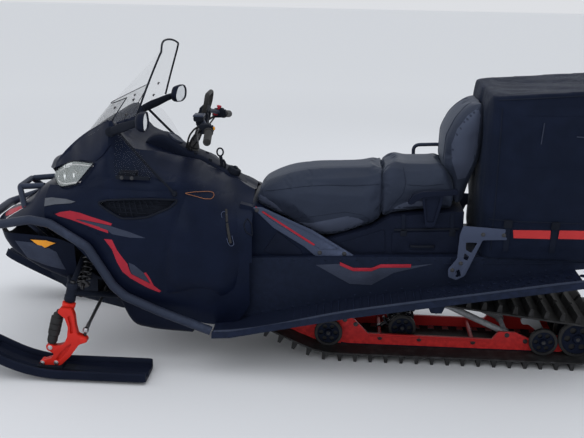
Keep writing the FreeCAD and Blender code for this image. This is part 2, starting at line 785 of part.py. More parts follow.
# Nose and hood sections, front to back, half width on the left side
# columns: x, middle z, edge y, edge z, seam y, seam z
HOOD_SECTIONS = (
    (1170.0, 868.0, 60.0, 866.0, 150.0, 806.0),
    (1053.0, 975.0, 120.0, 962.0, 262.0, 824.0),
    (957.0, 1030.0, 165.0, 1038.0, 300.0, 845.0),
    (803.0, 1060.0, 270.0, 1130.0, 332.0, 880.0),
    (732.0, 1012.0, 262.0, 1018.0, 348.0, 886.0),
    (648.0, 986.0, 220.0, 1001.0, 360.0, 888.0),
    (520.0, 938.0, 136.0, 954.0, 342.0, 880.0),
    (437.0, 914.0, 98.0, 932.0, 298.0, 872.0),
    (340.0, 864.0, 76.0, 878.0, 222.0, 836.0),
    (246.0, 822.0, 62.0, 834.0, 122.0, 806.0),
)


def hood_rows():
    rows = []
    for x, zc, ye, ze, ys, zs in HOOD_SECTIONS:
        rows.append([(x, -ys, zs), (x, -ye, ze), (x, 0.0, zc), (x, ye, ze), (x, ys, zs)])
    return rows


def make_hood_core():
    """Everything under the hood's outer face, used to seat what stands on it."""
    sections = []
    for row in hood_rows():
        x = row[0][0]
        sections.append(list(row) + [(x, row[-1][1], CORE_LOW), (x, row[0][1], CORE_LOW)])
    return stack(sections)


def make_hood(post_hole, lamps):
    return skin(hood_rows(), PANEL).cut(post_hole).cut(lamps)


# Upper nose between bumper and headlights, front to back
# columns: x, middle z, edge y, edge z, side y, side z
NOSE_SECTIONS = (
    (1425.0, 618.0, 70.0, 612.0, 90.0, 596.0),
    (1340.0, 676.0, 130.0, 664.0, 230.0, 630.0),
    (1240.0, 738.0, 150.0, 726.0, 272.0, 666.0),
    (1165.0, 800.0, 170.0, 792.0, 300.0, 676.0),
    (1060.0, 806.0, 250.0, 800.0, 330.0, 665.0),
    (960.0, 800.0, 280.0, 800.0, 345.0, 640.0),
)


def make_nose_deck():
    rows = []
    for x, zc, ye, ze, ys, zs in NOSE_SECTIONS:
        rows.append([(x, -ys, zs), (x, -ye, ze), (x, 0.0, zc), (x, ye, ze), (x, ys, zs)])
    return skin(rows, PANEL)


# Lower nose: x, top y, top z, low y, low z
LOWER_NOSE_SECTIONS = (
    (1400.0, 90.0, 590.0, 70.0, 540.0),
    (1326.0, 268.0, 602.0, 230.0, 505.0),
    (1197.0, 292.0, 600.0, 262.0, 440.0),
    (1076.0, 300.0, 590.0, 268.0, 392.0),
    (990.0, 296.0, 560.0, 250.0, 350.0),
)


def make_lower_nose(frame):
    """Lower nose shell with openings round the front arms."""
    rows = []
    for x, yt, zt, yl, zl in LOWER_NOSE_SECTIONS:
        rows.append([(x, yt, zt), (x, yl, zl), (x, 0.0, zl - 8), (x, -yl, zl), (x, -yt, zt)])
    shell = skin(rows, PANEL)
    centre = V(KNUCKLE_X, KNUCKLE_Y, KNUCKLE_Z)
    way = kingpin_axis()
    hub = centre + way * 40.0
    upper = centre + way * 75.0
    holes = []
    for end, target in ((ARM_ENDS[1], hub), (UPPER_ARM_END, upper)):
        start = vec(end) - (target - vec(end)).normalize() * ARM_HOLE
        holes.append(rod(start, target, ARM_HOLE))
    holes += [mirrored(h) for h in holes]
    return shell.cut(holes + [frame])


# Left side panel, front to back: x, top y, top z, bulge y, bulge z, low y, low z
PANEL_SECTIONS = (
    (1150.0, 318.0, 790.0, 334.0, 760.0, 330.0, 716.0),
    (957.0, 306.0, 836.0, 352.0, 760.0, 356.0, 640.0),
    (803.0, 338.0, 871.0, 372.0, 740.0, 366.0, 430.0),
    (614.0, 364.0, 878.0, 392.0, 680.0, 366.0, 345.0),
    (520.0, 348.0, 870.0, 392.0, 660.0, 358.0, 320.0),
    (437.0, 304.0, 862.0, 390.0, 640.0, 350.0, 300.0),
    (340.0, 228.0, 826.0, 380.0, 620.0, 340.0, 310.0),
    (225.0, 112.0, 790.0, 352.0, 600.0, 326.0, 330.0),
)


TAB = 16.0
TAB_SINK = 1.0
TAB_STATIONS = (880.0, 700.0, 520.0, 300.0)

# Air intake in the side panel: slanted slots between these places
INTAKE_REAR_X = 530.0
INTAKE_SLOTS = 9
INTAKE_PITCH = 30.0
INTAKE_BAR = 10.0
INTAKE_LEAN = 14.0
INTAKE_TOP = 806.0
INTAKE_LOW = 732.0
INTAKE_RISE = 0.32


def intake_slots():
    """Slots through the panel, shorter towards both ends of the intake."""
    middle = INTAKE_REAR_X + INTAKE_PITCH * INTAKE_SLOTS / 2
    slots = []
    for k in range(INTAKE_SLOTS):
        x0 = INTAKE_REAR_X + INTAKE_PITCH * k
        x1 = x0 + INTAKE_PITCH - INTAKE_BAR
        low = INTAKE_LOW + INTAKE_RISE * abs((x0 + x1) / 2 - middle)
        outline = ((x0, low), (x1, low), (x1 + INTAKE_LEAN, INTAKE_TOP), (x0 + INTAKE_LEAN, INTAKE_TOP))
        slots.append(slab_y(outline, panel_y(x0) - 2 * TAB, panel_y(x0) + 4 * TAB))
    return slots


def make_side_panel(hood):
    """Left side panel with its intake, and tabs behind its upper edge that carry the hood."""
    rows = []
    for x, yt, zt, yb, zb, yl, zl in PANEL_SECTIONS:
        rows.append([(x, yt, zt), (x, yb, zb), (x, yl, zl)])
    tabs = []
    for x in TAB_STATIONS:
        low = V(x, panel_y(x) - 2 * TAB, panel_z(x) - TAB)
        tabs.append(Part.makeBox(TAB, 2 * TAB - TAB_SINK, 2.2 * TAB, low).cut(hood))
    return fused([skin(rows, PANEL).cut(intake_slots())] + tabs)


def panel_at(x, column):
    for low, high in zip(PANEL_SECTIONS[1:], PANEL_SECTIONS):
        if low[0] <= x <= high[0]:
            return low[column] + (high[column] - low[column]) * (x - low[0]) / (high[0] - low[0])
    return PANEL_SECTIONS[-1][column]


def panel_y(x):
    return panel_at(x, 1)


def panel_z(x):
    return panel_at(x, 2)


# Belly pan, front to back: x, top y, top z, low y, low z
BELLY_SECTIONS = (
    (775.0, 340.0, 365.0, 300.0, 300.0),
    (722.0, 338.0, 350.0, 300.0, 187.0),
    (578.0, 334.0, 320.0, 300.0, 156.0),
    (440.0, 330.0, 285.0, 300.0, 148.0),
)


def make_belly():
    rows = []
    for x, yt, zt, yl, zl in BELLY_SECTIONS:
        rows.append([(x, yt, zt), (x, yl, zl), (x, -yl, zl), (x, -yt, zt)])
    return skin(rows, PANEL)


# Windscreen from its foot up, left half from the middle out: x, y, z
SCREEN_ROWS = (
    ((1009.0, 0.0, 996.0), (950.0, 165.0, 1030.0), (803.0, 270.0, 1124.0), (672.0, 322.0, 1178.0)),
    ((826.0, 0.0, 1216.0), (795.0, 130.0, 1228.0), (715.0, 228.0, 1262.0), (632.0, 280.0, 1300.0)),
    ((643.0, 0.0, 1409.0), (632.0, 100.0, 1410.0), (612.0, 180.0, 1412.0), (592.0, 232.0, 1412.0)),
    ((604.0, 0.0, 1480.0), (598.0, 90.0, 1476.0), (588.0, 160.0, 1466.0), (580.0, 208.0, 1452.0)),
)


def full_row(half):
    right = [(x, -y, z) for x, y, z in reversed(half[1:])]
    return right + list(half)


def make_windscreen():
    rows = [full_row(r) for r in SCREEN_ROWS]
    return skin(rows, SCREEN_THICKNESS)


# Console between hood and seat in the side view: x, z
CONSOLE_OUTLINE = (
    (700.0, 1012.0),
    (672.0, 1026.0),
    (640.0, 1036.0),
    (602.0, 1030.0),
    (543.0, 989.0),
    (504.0, 970.0),
    (417.0, 931.0),
    (343.0, 886.0),
    (255.0, 843.0),
    (210.0, 797.0),
    (176.0, 772.0),
    (190.0, 750.0),
    (255.0, 790.0),
    (437.0, 880.0),
    (700.0, 980.0),
)
CONSOLE_HALF = 60.0


def make_console(core, post_hole):
    """Console from the screen's foot down to the seat, seated on the hood."""
    body = slab_y(CONSOLE_OUTLINE, -CONSOLE_HALF, CONSOLE_HALF)
    return body.cut(core).cut(post_hole)


def post_way():
    return (vec(POST_TOP) - vec(POST_LOW)).normalize()


def make_post_hole():
    way = post_way()
    return Part.makeCylinder(STEER_POST_RADIUS + PIVOT_PLAY, 600.0, vec(POST_LOW) - way * 300.0, way)


def make_post(bar):
    """Steering post with the clamp that holds the bar."""
    way = post_way()
    low = vec(POST_LOW) - way * POST_BELOW
    shaft = Part.makeCylinder(STEER_POST_RADIUS, (vec(POST_TOP) - low).Length + 10.0, low, way)
    x0, x1, y1, z0, z1 = CLAMP
    clamp = block(x0, x1, -y1, y1, z0, z1)
    return shaft.fuse(clamp).cut(bar)


BAR_PATH = ((354.0, -375.0, 1076.0), (366.0, -250.0, 1098.0), (424.0, -105.0, 1140.0),
            (424.0, 105.0, 1140.0), (366.0, 250.0, 1098.0), (354.0, 375.0, 1076.0))
BAR_BEND = 40.0
HOOP_PATH = ((420.0, -62.0, 1140.0), (402.0, -66.0, 1236.0), (402.0, 66.0, 1236.0), (420.0, 62.0, 1140.0))
HOOP_RADIUS = 9.0


def make_handlebar():
    """Bent bar with its grips and the upright hoop in the middle."""
    bar = bent_tube(BAR_PATH, BAR_RADIUS, BAR_BEND)
    hoop = bent_tube(HOOP_PATH, HOOP_RADIUS, BAR_BEND)
    return bar.fuse(hoop)


# Left headlight lens, upper and lower edge from the middle back: x, y, z
HEADLIGHT_TOP = ((1124.0, 56.0, 864.0), (1106.0, 150.0, 874.0),
                 (1011.0, 210.0, 935.0), (884.0, 288.0, 948.0))
HEADLIGHT_LOW = ((1128.0, 56.0, 834.0), (1108.0, 150.0, 826.0),
                 (1048.0, 266.0, 828.0), (964.0, 306.0, 852.0))
HEADLIGHT_DEPTH = 40.0

MIRROR_X = 628.0
MIRROR_Y = 422.0
MIRROR_Z = 1169.0
MIRROR_WIDTH = 130.0
MIRROR_HEIGHT = 84.0
MIRROR_DEPTH = 38.0
MIRROR_TOE = 8.0
MIRROR_FOOT = (800.0, 292.0, 1096.0)
STAY_TOP = (767.0, 316.0, 1109.0)
STAY_FOOT = (504.0, 366.0, 836.0)
STAY_REACH = 21.5
STAY_RADIUS = 5.0

DEFLECTOR_Y = 374.0
DEFLECTOR_OUTLINE = ((770.0, 905.0), (764.0, 1050.0), (745.0, 1108.0), (700.0, 1095.0),
                     (645.0, 1020.0), (596.0, 930.0), (600.0, 902.0))
DEFLECTOR_FOOT = ((690.0, 906.0), (690.0, 926.0), (740.0, 926.0), (740.0, 906.0))
HOOD_SIDE_Y = 310.0

# Seam between the seats above and the tank cover and seat base below: x, z
SEAT_UNDER = ((168.0, 752.0), (32.0, 690.0), (-164.0, 597.0), (-383.0, 668.0), (-470.0, 724.0),
              (-745.0, 758.0))
TANK_TOP = ((224.0, 766.0), (176.0, 756.0))
TANK_FRONT_X = 224.0
COVER_REAR_X = -164.0
BASE_REAR_X = -800.0
BASE_INSET = 10.0
BASE_HALF = TANK_HALF - BASE_INSET

# Rider's seat and passenger's seat, upper lines from front to rear: x, z
RIDER_TOP = ((166.0, 806.0), (110.0, 838.0), (52.0, 866.0), (-40.0, 893.0), (-137.0, 907.0),
             (-240.0, 913.0), (-344.0, 920.0), (-400.0, 934.0), (-428.0, 950.0))
SEAT_SPLIT_X = -428.0
SEAT_SHOULDER = 150.0
PASSENGER_TOP = ((-428.5, 949.0), (-470.0, 955.0), (-525.0, 950.0), (-640.0, 951.0),
                 (-698.0, 966.0), (-742.0, 872.0))
RIDER_DROP = 34.0
PASSENGER_DROP = 40.0
PASSENGER_REAR_X = -752.0

# Backrest, front face from its foot up: x, z, how far its flanks lie back
BACKREST_FOOT = SEAT_UNDER[-1][1] + SOFT_GAP
BACKREST_FRONT = ((-757.5, BACKREST_FOOT, 0.0), (-747.0, 872.0, 0.0), (-703.0, 968.0, 6.0),
                  (-706.0, 1075.0, 24.0), (-735.0, 1150.0, 26.0), (-776.0, 1202.0, 22.0),
                  (-830.0, 1244.0, 8.0), (-862.0, 1252.0, 0.0))
BACKREST_BACK = ((-870.0, 1200.0, 0.0), (-868.0, 1080.0, 0.0), (-850.0, 952.0, 0.0),
                 (-806.0, 800.0, 0.0), (-799.0, BACKREST_FOOT, 0.0))
BACKREST_HALF = 200.0
BACKREST_BOLSTER = 45.0

HANDLE_GRIP = ((-535.0, 800.0), (-562.0, 842.0), (-600.0, 858.0), (-762.0, 872.0),
               (-762.0, 848.0), (-610.0, 834.0), (-582.0, 818.0), (-560.0, 795.0))
HANDLE_POST = ((-596.0, 838.0), (-700.0, 850.0), (-662.0, 690.0), (-622.0, 690.0))
HANDLE_INSET = 13.0
HANDLE_Y = BASE_HALF + HANDLE_INSET
HANDLE_THICK = 34.0
# Upright bar on the right hand-hold, from its front foot to its rear foot: x, z
GRAB_BAR = ((-598.0, 846.0), (-590.0, 984.0), (-738.0, 992.0), (-742.0, 858.0))
GRAB_BAR_RADIUS = 9.0
GRAB_BAR_BEND = 30.0

BRACE_THICK = 10.0
BRACE_UPPER = ((166.0, 752.0), (124.0, 754.0), (-113.0, 652.0))
BRACE_REAR_X = -308.0
BRACE_HEEL_X = -128.0
BRACE_LOWER = ((-77.0, 572.0), (70.0, 660.0))

# Cargo bracket plate: x, z
BRACKET_OUTLINE = ((-790.0, 716.0), (-990.0, 707.0), (-988.0, 658.0), (-880.0, 653.0), (-812.0, 480.0),
                   (-774.0, 458.0), (-738.0, 472.0), (-735.0, 508.0), (-772.0, 560.0), (-777.0, 674.0))
BRACKET_HOLES = (((-806.0, 640.0), (-858.0, 640.0), (-822.0, 560.0)),)
BRACKET_BOLTS = ((-766.0, 488.0), (-792.0, 530.0))
BRACKET_Y = 300.0
BRACKET_THICK = 8.0

BAG_FOOT_HALF = 296.0
BAG_STEP_Z = 740.0

REAR_BUMPER = ((-1440.0, 279.0, 566.0), (-1604.0, 279.0, 576.0), (-1622.0, 190.0, 600.0))
REAR_TUBE = 13.0
# Hitch plate: x from, x to, half width, z from, z to
HITCH = (-1616.0, -1566.0, 24.0, 592.0, 608.0)
HITCH_X = -1588.0
HITCH_BORE = 8.0

FLAP_HALF = 235.0
FLAP_OUTLINE = ((TUNNEL_REAR_X, 545.0), (-1568.0, 545.0), (-1568.0, 500.0),
                (-1620.0, 290.0), (-1612.0, 290.0), (TUNNEL_REAR_X, 498.0))
TAIL_LAMP_HALF = 70.0
TAIL_LAMP_DEPTH = 14.0
TAIL_LAMP_HEIGHT = 34.0
TAIL_LAMP_DROP = 7.0
REFLECTOR_THICK = 8.0
# Tabs that hold the bumper to the tunnel's walls: x from, x to, thickness, z from, z to
BUMPER_TAB = (-1500.0, -1440.0, 12.0, 548.0, 580.0)
# Switch block and brake reservoir by the left grip: x from, x to, y from, y to, z from, z to
SWITCH_BLOCK = (352.0, 412.0, 196.0, 240.0, 1082.0, 1132.0)
RESERVOIR = (396.0, 446.0, 120.0, 188.0, 1130.0, 1164.0)
LEVER_PATH = ((400.0, 232.0, 1100.0), (414.0, 262.0, 1094.0), (396.0, 350.0, 1072.0))
LEVER_RADIUS = 5.0
REFLECTOR = ((1200.0, 292.0, 577.0), (1140.0, 289.5, 535.0), (1076.0, 300.5, 566.0), (1120.0, 298.0, 577.0))


def damper_ends():
    """Left front damper: low end on the rear arm tube, high end on the tower."""
    return (946.0, 372.0, 345.0), (950.0, 128.0, 585.0)


def make_front_shock(arm, frame):
    low, high = damper_ends()
    body = damper(low, high, 27.0, 11.0)
    pin = rod((high[0], high[1] - 30.0, high[2]), high, 12.0)
    return fused([body, pin]).cut(arm).cut(frame)


def make_headlights():
    """Both headlights: lenses that fill the gaps under the brow."""
    left = skin([list(HEADLIGHT_LOW), list(HEADLIGHT_TOP)], HEADLIGHT_DEPTH)
    return both_sides(left)


def make_mirror(core, panel):
    """Left mirror: housing toed in to the rider, on an arm from the hood's edge."""
    sections = []
    toe = math.radians(MIRROR_TOE)
    for along, scale in ((-MIRROR_DEPTH / 2, 0.92), (0.0, 1.0), (MIRROR_DEPTH / 2, 0.7)):
        ring = []
        for k in range(8):
            angle = math.radians(22.5 + 45.0 * k)
            across = MIRROR_WIDTH / 2 * 1.08 * scale * math.cos(angle)
            up = MIRROR_HEIGHT / 2 * 1.08 * scale * math.sin(angle)
            x = MIRROR_X + along * math.cos(toe) - across * math.sin(toe)
            y = MIRROR_Y + along * math.sin(toe) + across * math.cos(toe)
            ring.append((x, y, MIRROR_Z + up))
        sections.append(ring)
    housing = stack(sections)
    arm_bar = rod(MIRROR_FOOT, (MIRROR_X + 6, MIRROR_Y - 30, MIRROR_Z - 8), 11.0)
    foot = Part.makeSphere(22.0, vec(MIRROR_FOOT))
    stay = rod(STAY_TOP, STAY_FOOT, STAY_RADIUS)
    x, y, z = STAY_FOOT
    stud = rod((x, y + STAY_RADIUS, z), (x, y - STAY_REACH, z), STAY_RADIUS + 1)
    return fused([housing, arm_bar, foot, stay, stud]).cut(core).cut(panel)


def make_deflector(core):
    """Left clear wind deflector beside the cockpit, on a foot from the hood's side."""
    plate = slab_y(DEFLECTOR_OUTLINE, DEFLECTOR_Y, DEFLECTOR_Y + SCREEN_THICKNESS)
    foot = slab_y(DEFLECTOR_FOOT, HOOD_SIDE_Y, DEFLECTOR_Y).cut(core)
    return plate.fuse(foot)


def make_tank_cover():
    line = [(x, z) for x, z in SEAT_UNDER if x >= COVER_REAR_X]
    outline = list(TANK_TOP) + line
    outline += [(COVER_REAR_X, tunnel_top(COVER_REAR_X)), (TANK_FRONT_X, tunnel_top(TANK_FRONT_X))]
    return slab_y(outline, -TANK_HALF, TANK_HALF)


def make_seat_base():
    line = [(x, z) for x, z in SEAT_UNDER if x <= COVER_REAR_X]
    outline = line + [(BASE_REAR_X, line[-1][1]), (BASE_REAR_X, tunnel_top(BASE_REAR_X)),
                      (COVER_REAR_X, tunnel_top(COVER_REAR_X))]
    return slab_y(outline, -BASE_HALF, BASE_HALF)


def cushion(top, under, half, shoulder, drop):
    """Soft block: side views across its width, lower and shorter at both flanks."""
    sections = []
    for y, fall in ((-half, 1.0), (-shoulder, 0.0), (shoulder, 0.0), (half, 1.0)):
        ring = []
        for x, z in top:
            ring.append((x, y, z - drop * fall))
        for x, z in under:
            ring.append((x, y, z + SOFT_GAP))
        sections.append(ring)
    return stack(sections)


def make_rider_seat():
    under = [(x, z) for x, z in reversed(SEAT_UNDER) if x >= SEAT_SPLIT_X]
    under.insert(0, (SEAT_SPLIT_X, under_z(SEAT_SPLIT_X)))
    return cushion(RIDER_TOP, under, SEAT_HALF, SEAT_SHOULDER, RIDER_DROP)


def under_z(x):
    for (x0, z0), (x1, z1) in zip(SEAT_UNDER, SEAT_UNDER[1:]):
        if x1 <= x <= x0:
            return z0 + (z1 - z0) * (x0 - x) / (x0 - x1)
    return SEAT_UNDER[-1][1]


def make_passenger_seat():
    under = [(x, z) for x, z in reversed(SEAT_UNDER) if PASSENGER_REAR_X < x < SEAT_SPLIT_X - 1]
    under.append((SEAT_SPLIT_X - SOFT_GAP, under_z(SEAT_SPLIT_X)))
    under.insert(0, (PASSENGER_REAR_X, under_z(PASSENGER_REAR_X)))
    return cushion(PASSENGER_TOP, under, SEAT_HALF, SEAT_SHOULDER, PASSENGER_DROP)


def make_backrest():
    """Backrest with flanks that lie back from its front face."""
    inner = BACKREST_HALF - BACKREST_BOLSTER
    sections = []
    for y, share in ((-BACKREST_HALF, 1.0), (-inner, 0.0), (inner, 0.0), (BACKREST_HALF, 1.0)):
        sections.append([(x - back * share, y, z) for x, z, back in BACKREST_FRONT + BACKREST_BACK])
    return stack(sections)


def make_passenger_handle():
    """Left hand-hold beside the passenger seat, on a post from the seat base."""
    grip = slab_y(HANDLE_GRIP, HANDLE_Y, HANDLE_Y + HANDLE_THICK)
    post = slab_y(HANDLE_POST, BASE_HALF, HANDLE_Y + HANDLE_THICK)
    return grip.fuse(post)


def make_grab_bar():
    """Upright bar that stands on the right hand-hold."""
    y = -(HANDLE_Y + HANDLE_THICK / 2)
    return bent_tube([(x, y, z) for x, z in GRAB_BAR], GRAB_BAR_RADIUS, GRAB_BAR_BEND)


def make_side_brace():
    """Left grey frame blade from the console's rear corner down to the tunnel."""
    outline = list(BRACE_UPPER)
    outline.append((BRACE_REAR_X, tunnel_top(BRACE_REAR_X)))
    outline.append((BRACE_HEEL_X, tunnel_top(BRACE_HEEL_X)))
    outline += list(BRACE_LOWER)
    return slab_y(outline, TANK_HALF, TANK_HALF + BRACE_THICK)


def make_bracket():
    """Left cargo bracket: an open truss plate on two spacers from the tunnel wall."""
    plate = slab_y(BRACKET_OUTLINE, BRACKET_Y, BRACKET_Y + BRACKET_THICK)
    for hole in BRACKET_HOLES:
        plate = plate.cut(slab_y(hole, BRACKET_Y - 1, BRACKET_Y + BRACKET_THICK + 1))
    spacers = []
    for x, z in BRACKET_BOLTS:
        spacers.append(rod((x, TUNNEL_INNER + TUNNEL_WALL, z), (x, BRACKET_Y, z), 11.0))
    return fused([plate] + spacers)


def make_bag():
    """Cargo bag: a tall block, wider at its waist, its floor on the tunnel."""
    sections = []
    for x, top in ((BAG_REAR_X, BAG_TOP_REAR), (BAG_FRONT_X, BAG_TOP_FRONT)):
        low = tunnel_top(x) + SOFT_GAP
        ring = [
            (x, -BAG_FOOT_HALF, low),
            (x, BAG_FOOT_HALF, low),
            (x, BAG_FOOT_HALF, BAG_STEP_Z),
            (x, BAG_HALF, BAG_STEP_Z + 50.0),
            (x, BAG_HALF - 10, top - 60.0),
            (x, BAG_HALF - 45, top),
            (x, -BAG_HALF + 45, top),
            (x, -BAG_HALF + 10, top - 60.0),
            (x, -BAG_HALF, BAG_STEP_Z + 50.0),
            (x, -BAG_FOOT_HALF, BAG_STEP_Z),
        ]
        sections.append(ring)
    return stack(sections)


def make_rear_bumper():
    """Tube loop round the tail with the hitch plate in its middle."""
    left = list(REAR_BUMPER)
    right = [(x, -y, z) for x, y, z in reversed(left)]
    loop = bent_tube(left + right, REAR_TUBE, 60.0)
    x0, x1, y1, z0, z1 = HITCH
    plate = block(x0, x1, -y1, y1, z0, z1)
    hole = rod((HITCH_X, 0, z0 - 1), (HITCH_X, 0, z1 + 1), HITCH_BORE)
    tab_x0, tab_x1, tab_width, tab_z0, tab_z1 = BUMPER_TAB
    tabs = []
    for side in (-1, 1):
        y = side * (TUNNEL_INNER + TUNNEL_WALL)
        lo, hi = sorted((y, y + side * tab_width))
        tabs.append(block(tab_x0, tab_x1, lo, hi, tab_z0, tab_z1))
    return fused([loop, plate] + tabs).cut(hole)


def make_flap():
    return slab_y(FLAP_OUTLINE, -FLAP_HALF, FLAP_HALF)


def make_marker_lamps(nose):
    """Tail lamp under the bag and an amber reflector on each side of the nose."""
    x = TUNNEL_REAR_X
    top = TUNNEL_TOP_REAR - TAIL_LAMP_DROP
    tail = block(x - TAIL_LAMP_DEPTH, x, -TAIL_LAMP_HALF, TAIL_LAMP_HALF, top - TAIL_LAMP_HEIGHT, top)
    corners = [[REFLECTOR[0], REFLECTOR[1]], [REFLECTOR[3], REFLECTOR[2]]]
    left = skin(corners, REFLECTOR_THICK).cut(nose)
    return Part.makeCompound([tail, left, mirrored(left)])


def make_controls(bar):
    """Switch blocks, brake reservoir and levers, beside the grips."""
    switches = block(*SWITCH_BLOCK)
    lever = bent_tube(LEVER_PATH, LEVER_RADIUS, 4 * LEVER_RADIUS)
    left = switches.fuse(lever)
    return fused([left, mirrored(left), block(*RESERVOIR)]).cut(bar)


def make_grips(bar):
    pieces = []
    for side in (-1, 1):
        a = vec((BAR_PATH[4][0], side * BAR_PATH[4][1], BAR_PATH[4][2]))
        b = vec((BAR_PATH[5][0], side * BAR_PATH[5][1], BAR_PATH[5][2]))
        pieces.append(Part.makeCylinder(GRIP_RADIUS, (b - a).Length + 2.0, a, b - a))
    return Part.makeCompound(pieces).cut(bar)


def build():
    """Every node's shape by its name."""
    nodes = {}
    arms = make_skid_arms()
    rails = make_rails()
    nodes["track"] = make_track()
    nodes["idler_wheels"] = make_idlers()
    nodes["drive_axle"] = make_drive_axle()
    nodes["slide_rails"] = rails.cut(arms)
    nodes["skid_arms"] = arms
    nodes["skid_shocks"] = make_skid_shocks(arms, rails)
    nodes["tunnel"] = make_tunnel()
    nodes["running_boards"] = both_sides(make_board())
    nodes["engine"] = make_engine()
    frame = make_front_frame()
    nodes["front_frame"] = frame
    arm_left = make_front_arm().cut(frame)
    nodes["front_arms"] = both_sides(arm_left)
    nodes["front_shocks"] = both_sides(make_front_shock(arm_left, frame))
    for side, turn in (("left", lambda s: s), ("right", mirrored)):
        nodes["ski_" + side] = turn(make_ski())
        nodes["spindle_" + side] = turn(make_spindle())
        nodes["spindle_damper_" + side] = turn(make_spindle_damper())
        nodes["tie_rod_" + side] = turn(make_tie_rod())
    nodes["front_bumper"] = make_front_bumper(frame)
    nodes["lower_bumper"] = make_lower_bumper(frame)
    nodes["side_rails"] = both_sides(make_side_rail())
    lamps = make_headlights()
    core = make_hood_core()
    hole = make_post_hole()
    nodes["hood"] = make_hood(hole, lamps)
    nodes["headlights"] = lamps
    nodes["nose_deck"] = make_nose_deck().cut(nodes["front_bumper"])
    nodes["lower_nose"] = make_lower_nose(frame)
    panel = make_side_panel(nodes["hood"])
    nodes["side_panels"] = both_sides(panel)
    nodes["belly_pan"] = make_belly().cut([frame, nodes["engine"]])
    nodes["windscreen"] = make_windscreen().cut(core)
    nodes["mirrors"] = both_sides(make_mirror(core, panel))
    nodes["deflectors"] = both_sides(make_deflector(core))
    tank = make_tank_cover()
    nodes["console"] = make_console(core, hole).cut(tank)
    nodes["tank_cover"] = tank
    nodes["seat_base"] = make_seat_base()
    nodes["rider_seat"] = make_rider_seat()
    nodes["passenger_seat"] = make_passenger_seat()
    nodes["backrest"] = make_backrest()
    handle = make_passenger_handle()
    nodes["passenger_handles"] = Part.makeCompound([handle, mirrored(handle).fuse(make_grab_bar())])
    nodes["side_braces"] = both_sides(make_side_brace())
    nodes["cargo_brackets"] = both_sides(make_bracket())
    nodes["cargo_bag"] = make_bag()
    nodes["rear_bumper"] = make_rear_bumper()
    nodes["marker_lamps"] = make_marker_lamps(nodes["lower_nose"])
    nodes["snow_flap"] = make_flap()
    bar = make_handlebar()
    nodes["steering_post"] = make_post(bar)
    nodes["handlebar"] = bar
    nodes["grips"] = make_grips(bar)
    nodes["controls"] = make_controls(bar.fuse(make_grips(bar)))
    return nodes


def main():
    os.makedirs("parts", exist_ok=True)
    for name, shape in build().items():
        box = shape.BoundBox
        print(name, len(shape.Solids), shape.isValid(), round(shape.Volume / 1e6, 2),
              [round(v) for v in (box.XMin, box.XMax, box.YMin, box.YMax, box.ZMin, box.ZMax)])
        shape.exportStep("parts/%s.step" % name)


main()
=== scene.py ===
# %% [markdown]
# # A snowmobile, dressed piece by piece
#
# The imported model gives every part's real place and size, in metres: +X is forward, +Y is the
# machine's left side, +Z is up, and the ground is at zero. We never move those parts. We give each
# one a finish, and where the real thing is softer or richer than its plain solid, we build a better
# piece in the same place and let it stand for the solid.

# %% The frame comes first
import json
import math

import bmesh
import bpy
from mathutils import Matrix, Vector
from mathutils.bvhtree import BVHTree
from mathutils.noise import fractal, noise


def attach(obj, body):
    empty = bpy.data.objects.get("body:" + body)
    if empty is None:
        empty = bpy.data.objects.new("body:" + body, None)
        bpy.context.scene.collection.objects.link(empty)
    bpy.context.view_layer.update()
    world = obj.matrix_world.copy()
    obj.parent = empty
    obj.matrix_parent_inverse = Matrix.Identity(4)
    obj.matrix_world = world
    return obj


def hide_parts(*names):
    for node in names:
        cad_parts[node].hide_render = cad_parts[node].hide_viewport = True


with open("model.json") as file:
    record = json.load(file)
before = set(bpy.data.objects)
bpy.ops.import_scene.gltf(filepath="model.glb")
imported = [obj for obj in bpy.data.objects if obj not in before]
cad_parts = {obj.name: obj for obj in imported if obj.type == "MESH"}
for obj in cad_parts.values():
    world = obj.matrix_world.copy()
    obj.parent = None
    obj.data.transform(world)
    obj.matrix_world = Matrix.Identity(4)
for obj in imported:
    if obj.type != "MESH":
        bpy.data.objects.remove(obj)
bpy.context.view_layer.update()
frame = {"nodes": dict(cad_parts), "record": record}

nodes = frame["nodes"]
body_of_node = {}
for body_name, members in frame["record"]["behaviour"]["bodies"].items():
    for member in members:
        body_of_node[member] = body_name
slot_of_node = {row["node"]: row["material_slot"] for row in frame["record"]["subparts"]}

# %% [markdown]
# ## The camera
#
# The photograph was taken from the machine's left, a little above a standing person's eyes, tilted
# down. Fitting the ski stance, the track and the seat to one perspective gave the place and the
# angles below. A camera object looks along its own -Z, so its matrix is built from three directions:
# right, up and back.

# %% Camera
CAMERA_PLACE = Vector((-0.240, 4.184, 1.865))
CAMERA_YAW = math.radians(3.246)
CAMERA_PITCH = math.radians(16.395)
CAMERA_ROLL = math.radians(1.043)
FOCAL_PIXELS = 895.09
PHOTO_WIDTH = 584
SENSOR = 36.0


def aim_camera():
    ahead = Vector((
        math.sin(CAMERA_YAW) * math.cos(CAMERA_PITCH),
        -math.cos(CAMERA_YAW) * math.cos(CAMERA_PITCH),
        -math.sin(CAMERA_PITCH),
    ))
    level = ahead.cross(Vector((0, 0, 1))).normalized()
    above = level.cross(ahead)
    right = level * math.cos(CAMERA_ROLL) + above * math.sin(CAMERA_ROLL)
    up = above * math.cos(CAMERA_ROLL) - level * math.sin(CAMERA_ROLL)
    data = bpy.data.cameras.new("camera")
    data.sensor_width = SENSOR
    data.lens = FOCAL_PIXELS * SENSOR / PHOTO_WIDTH
    camera = bpy.data.objects.new("camera", data)
    bpy.context.scene.collection.objects.link(camera)
    turn = Matrix((right, up, -ahead)).transposed().to_4x4()
    camera.matrix_world = Matrix.Translation(CAMERA_PLACE) @ turn
    bpy.context.scene.camera = camera
    return camera


camera = aim_camera()
print("lens", round(camera.data.lens, 2), "mm")

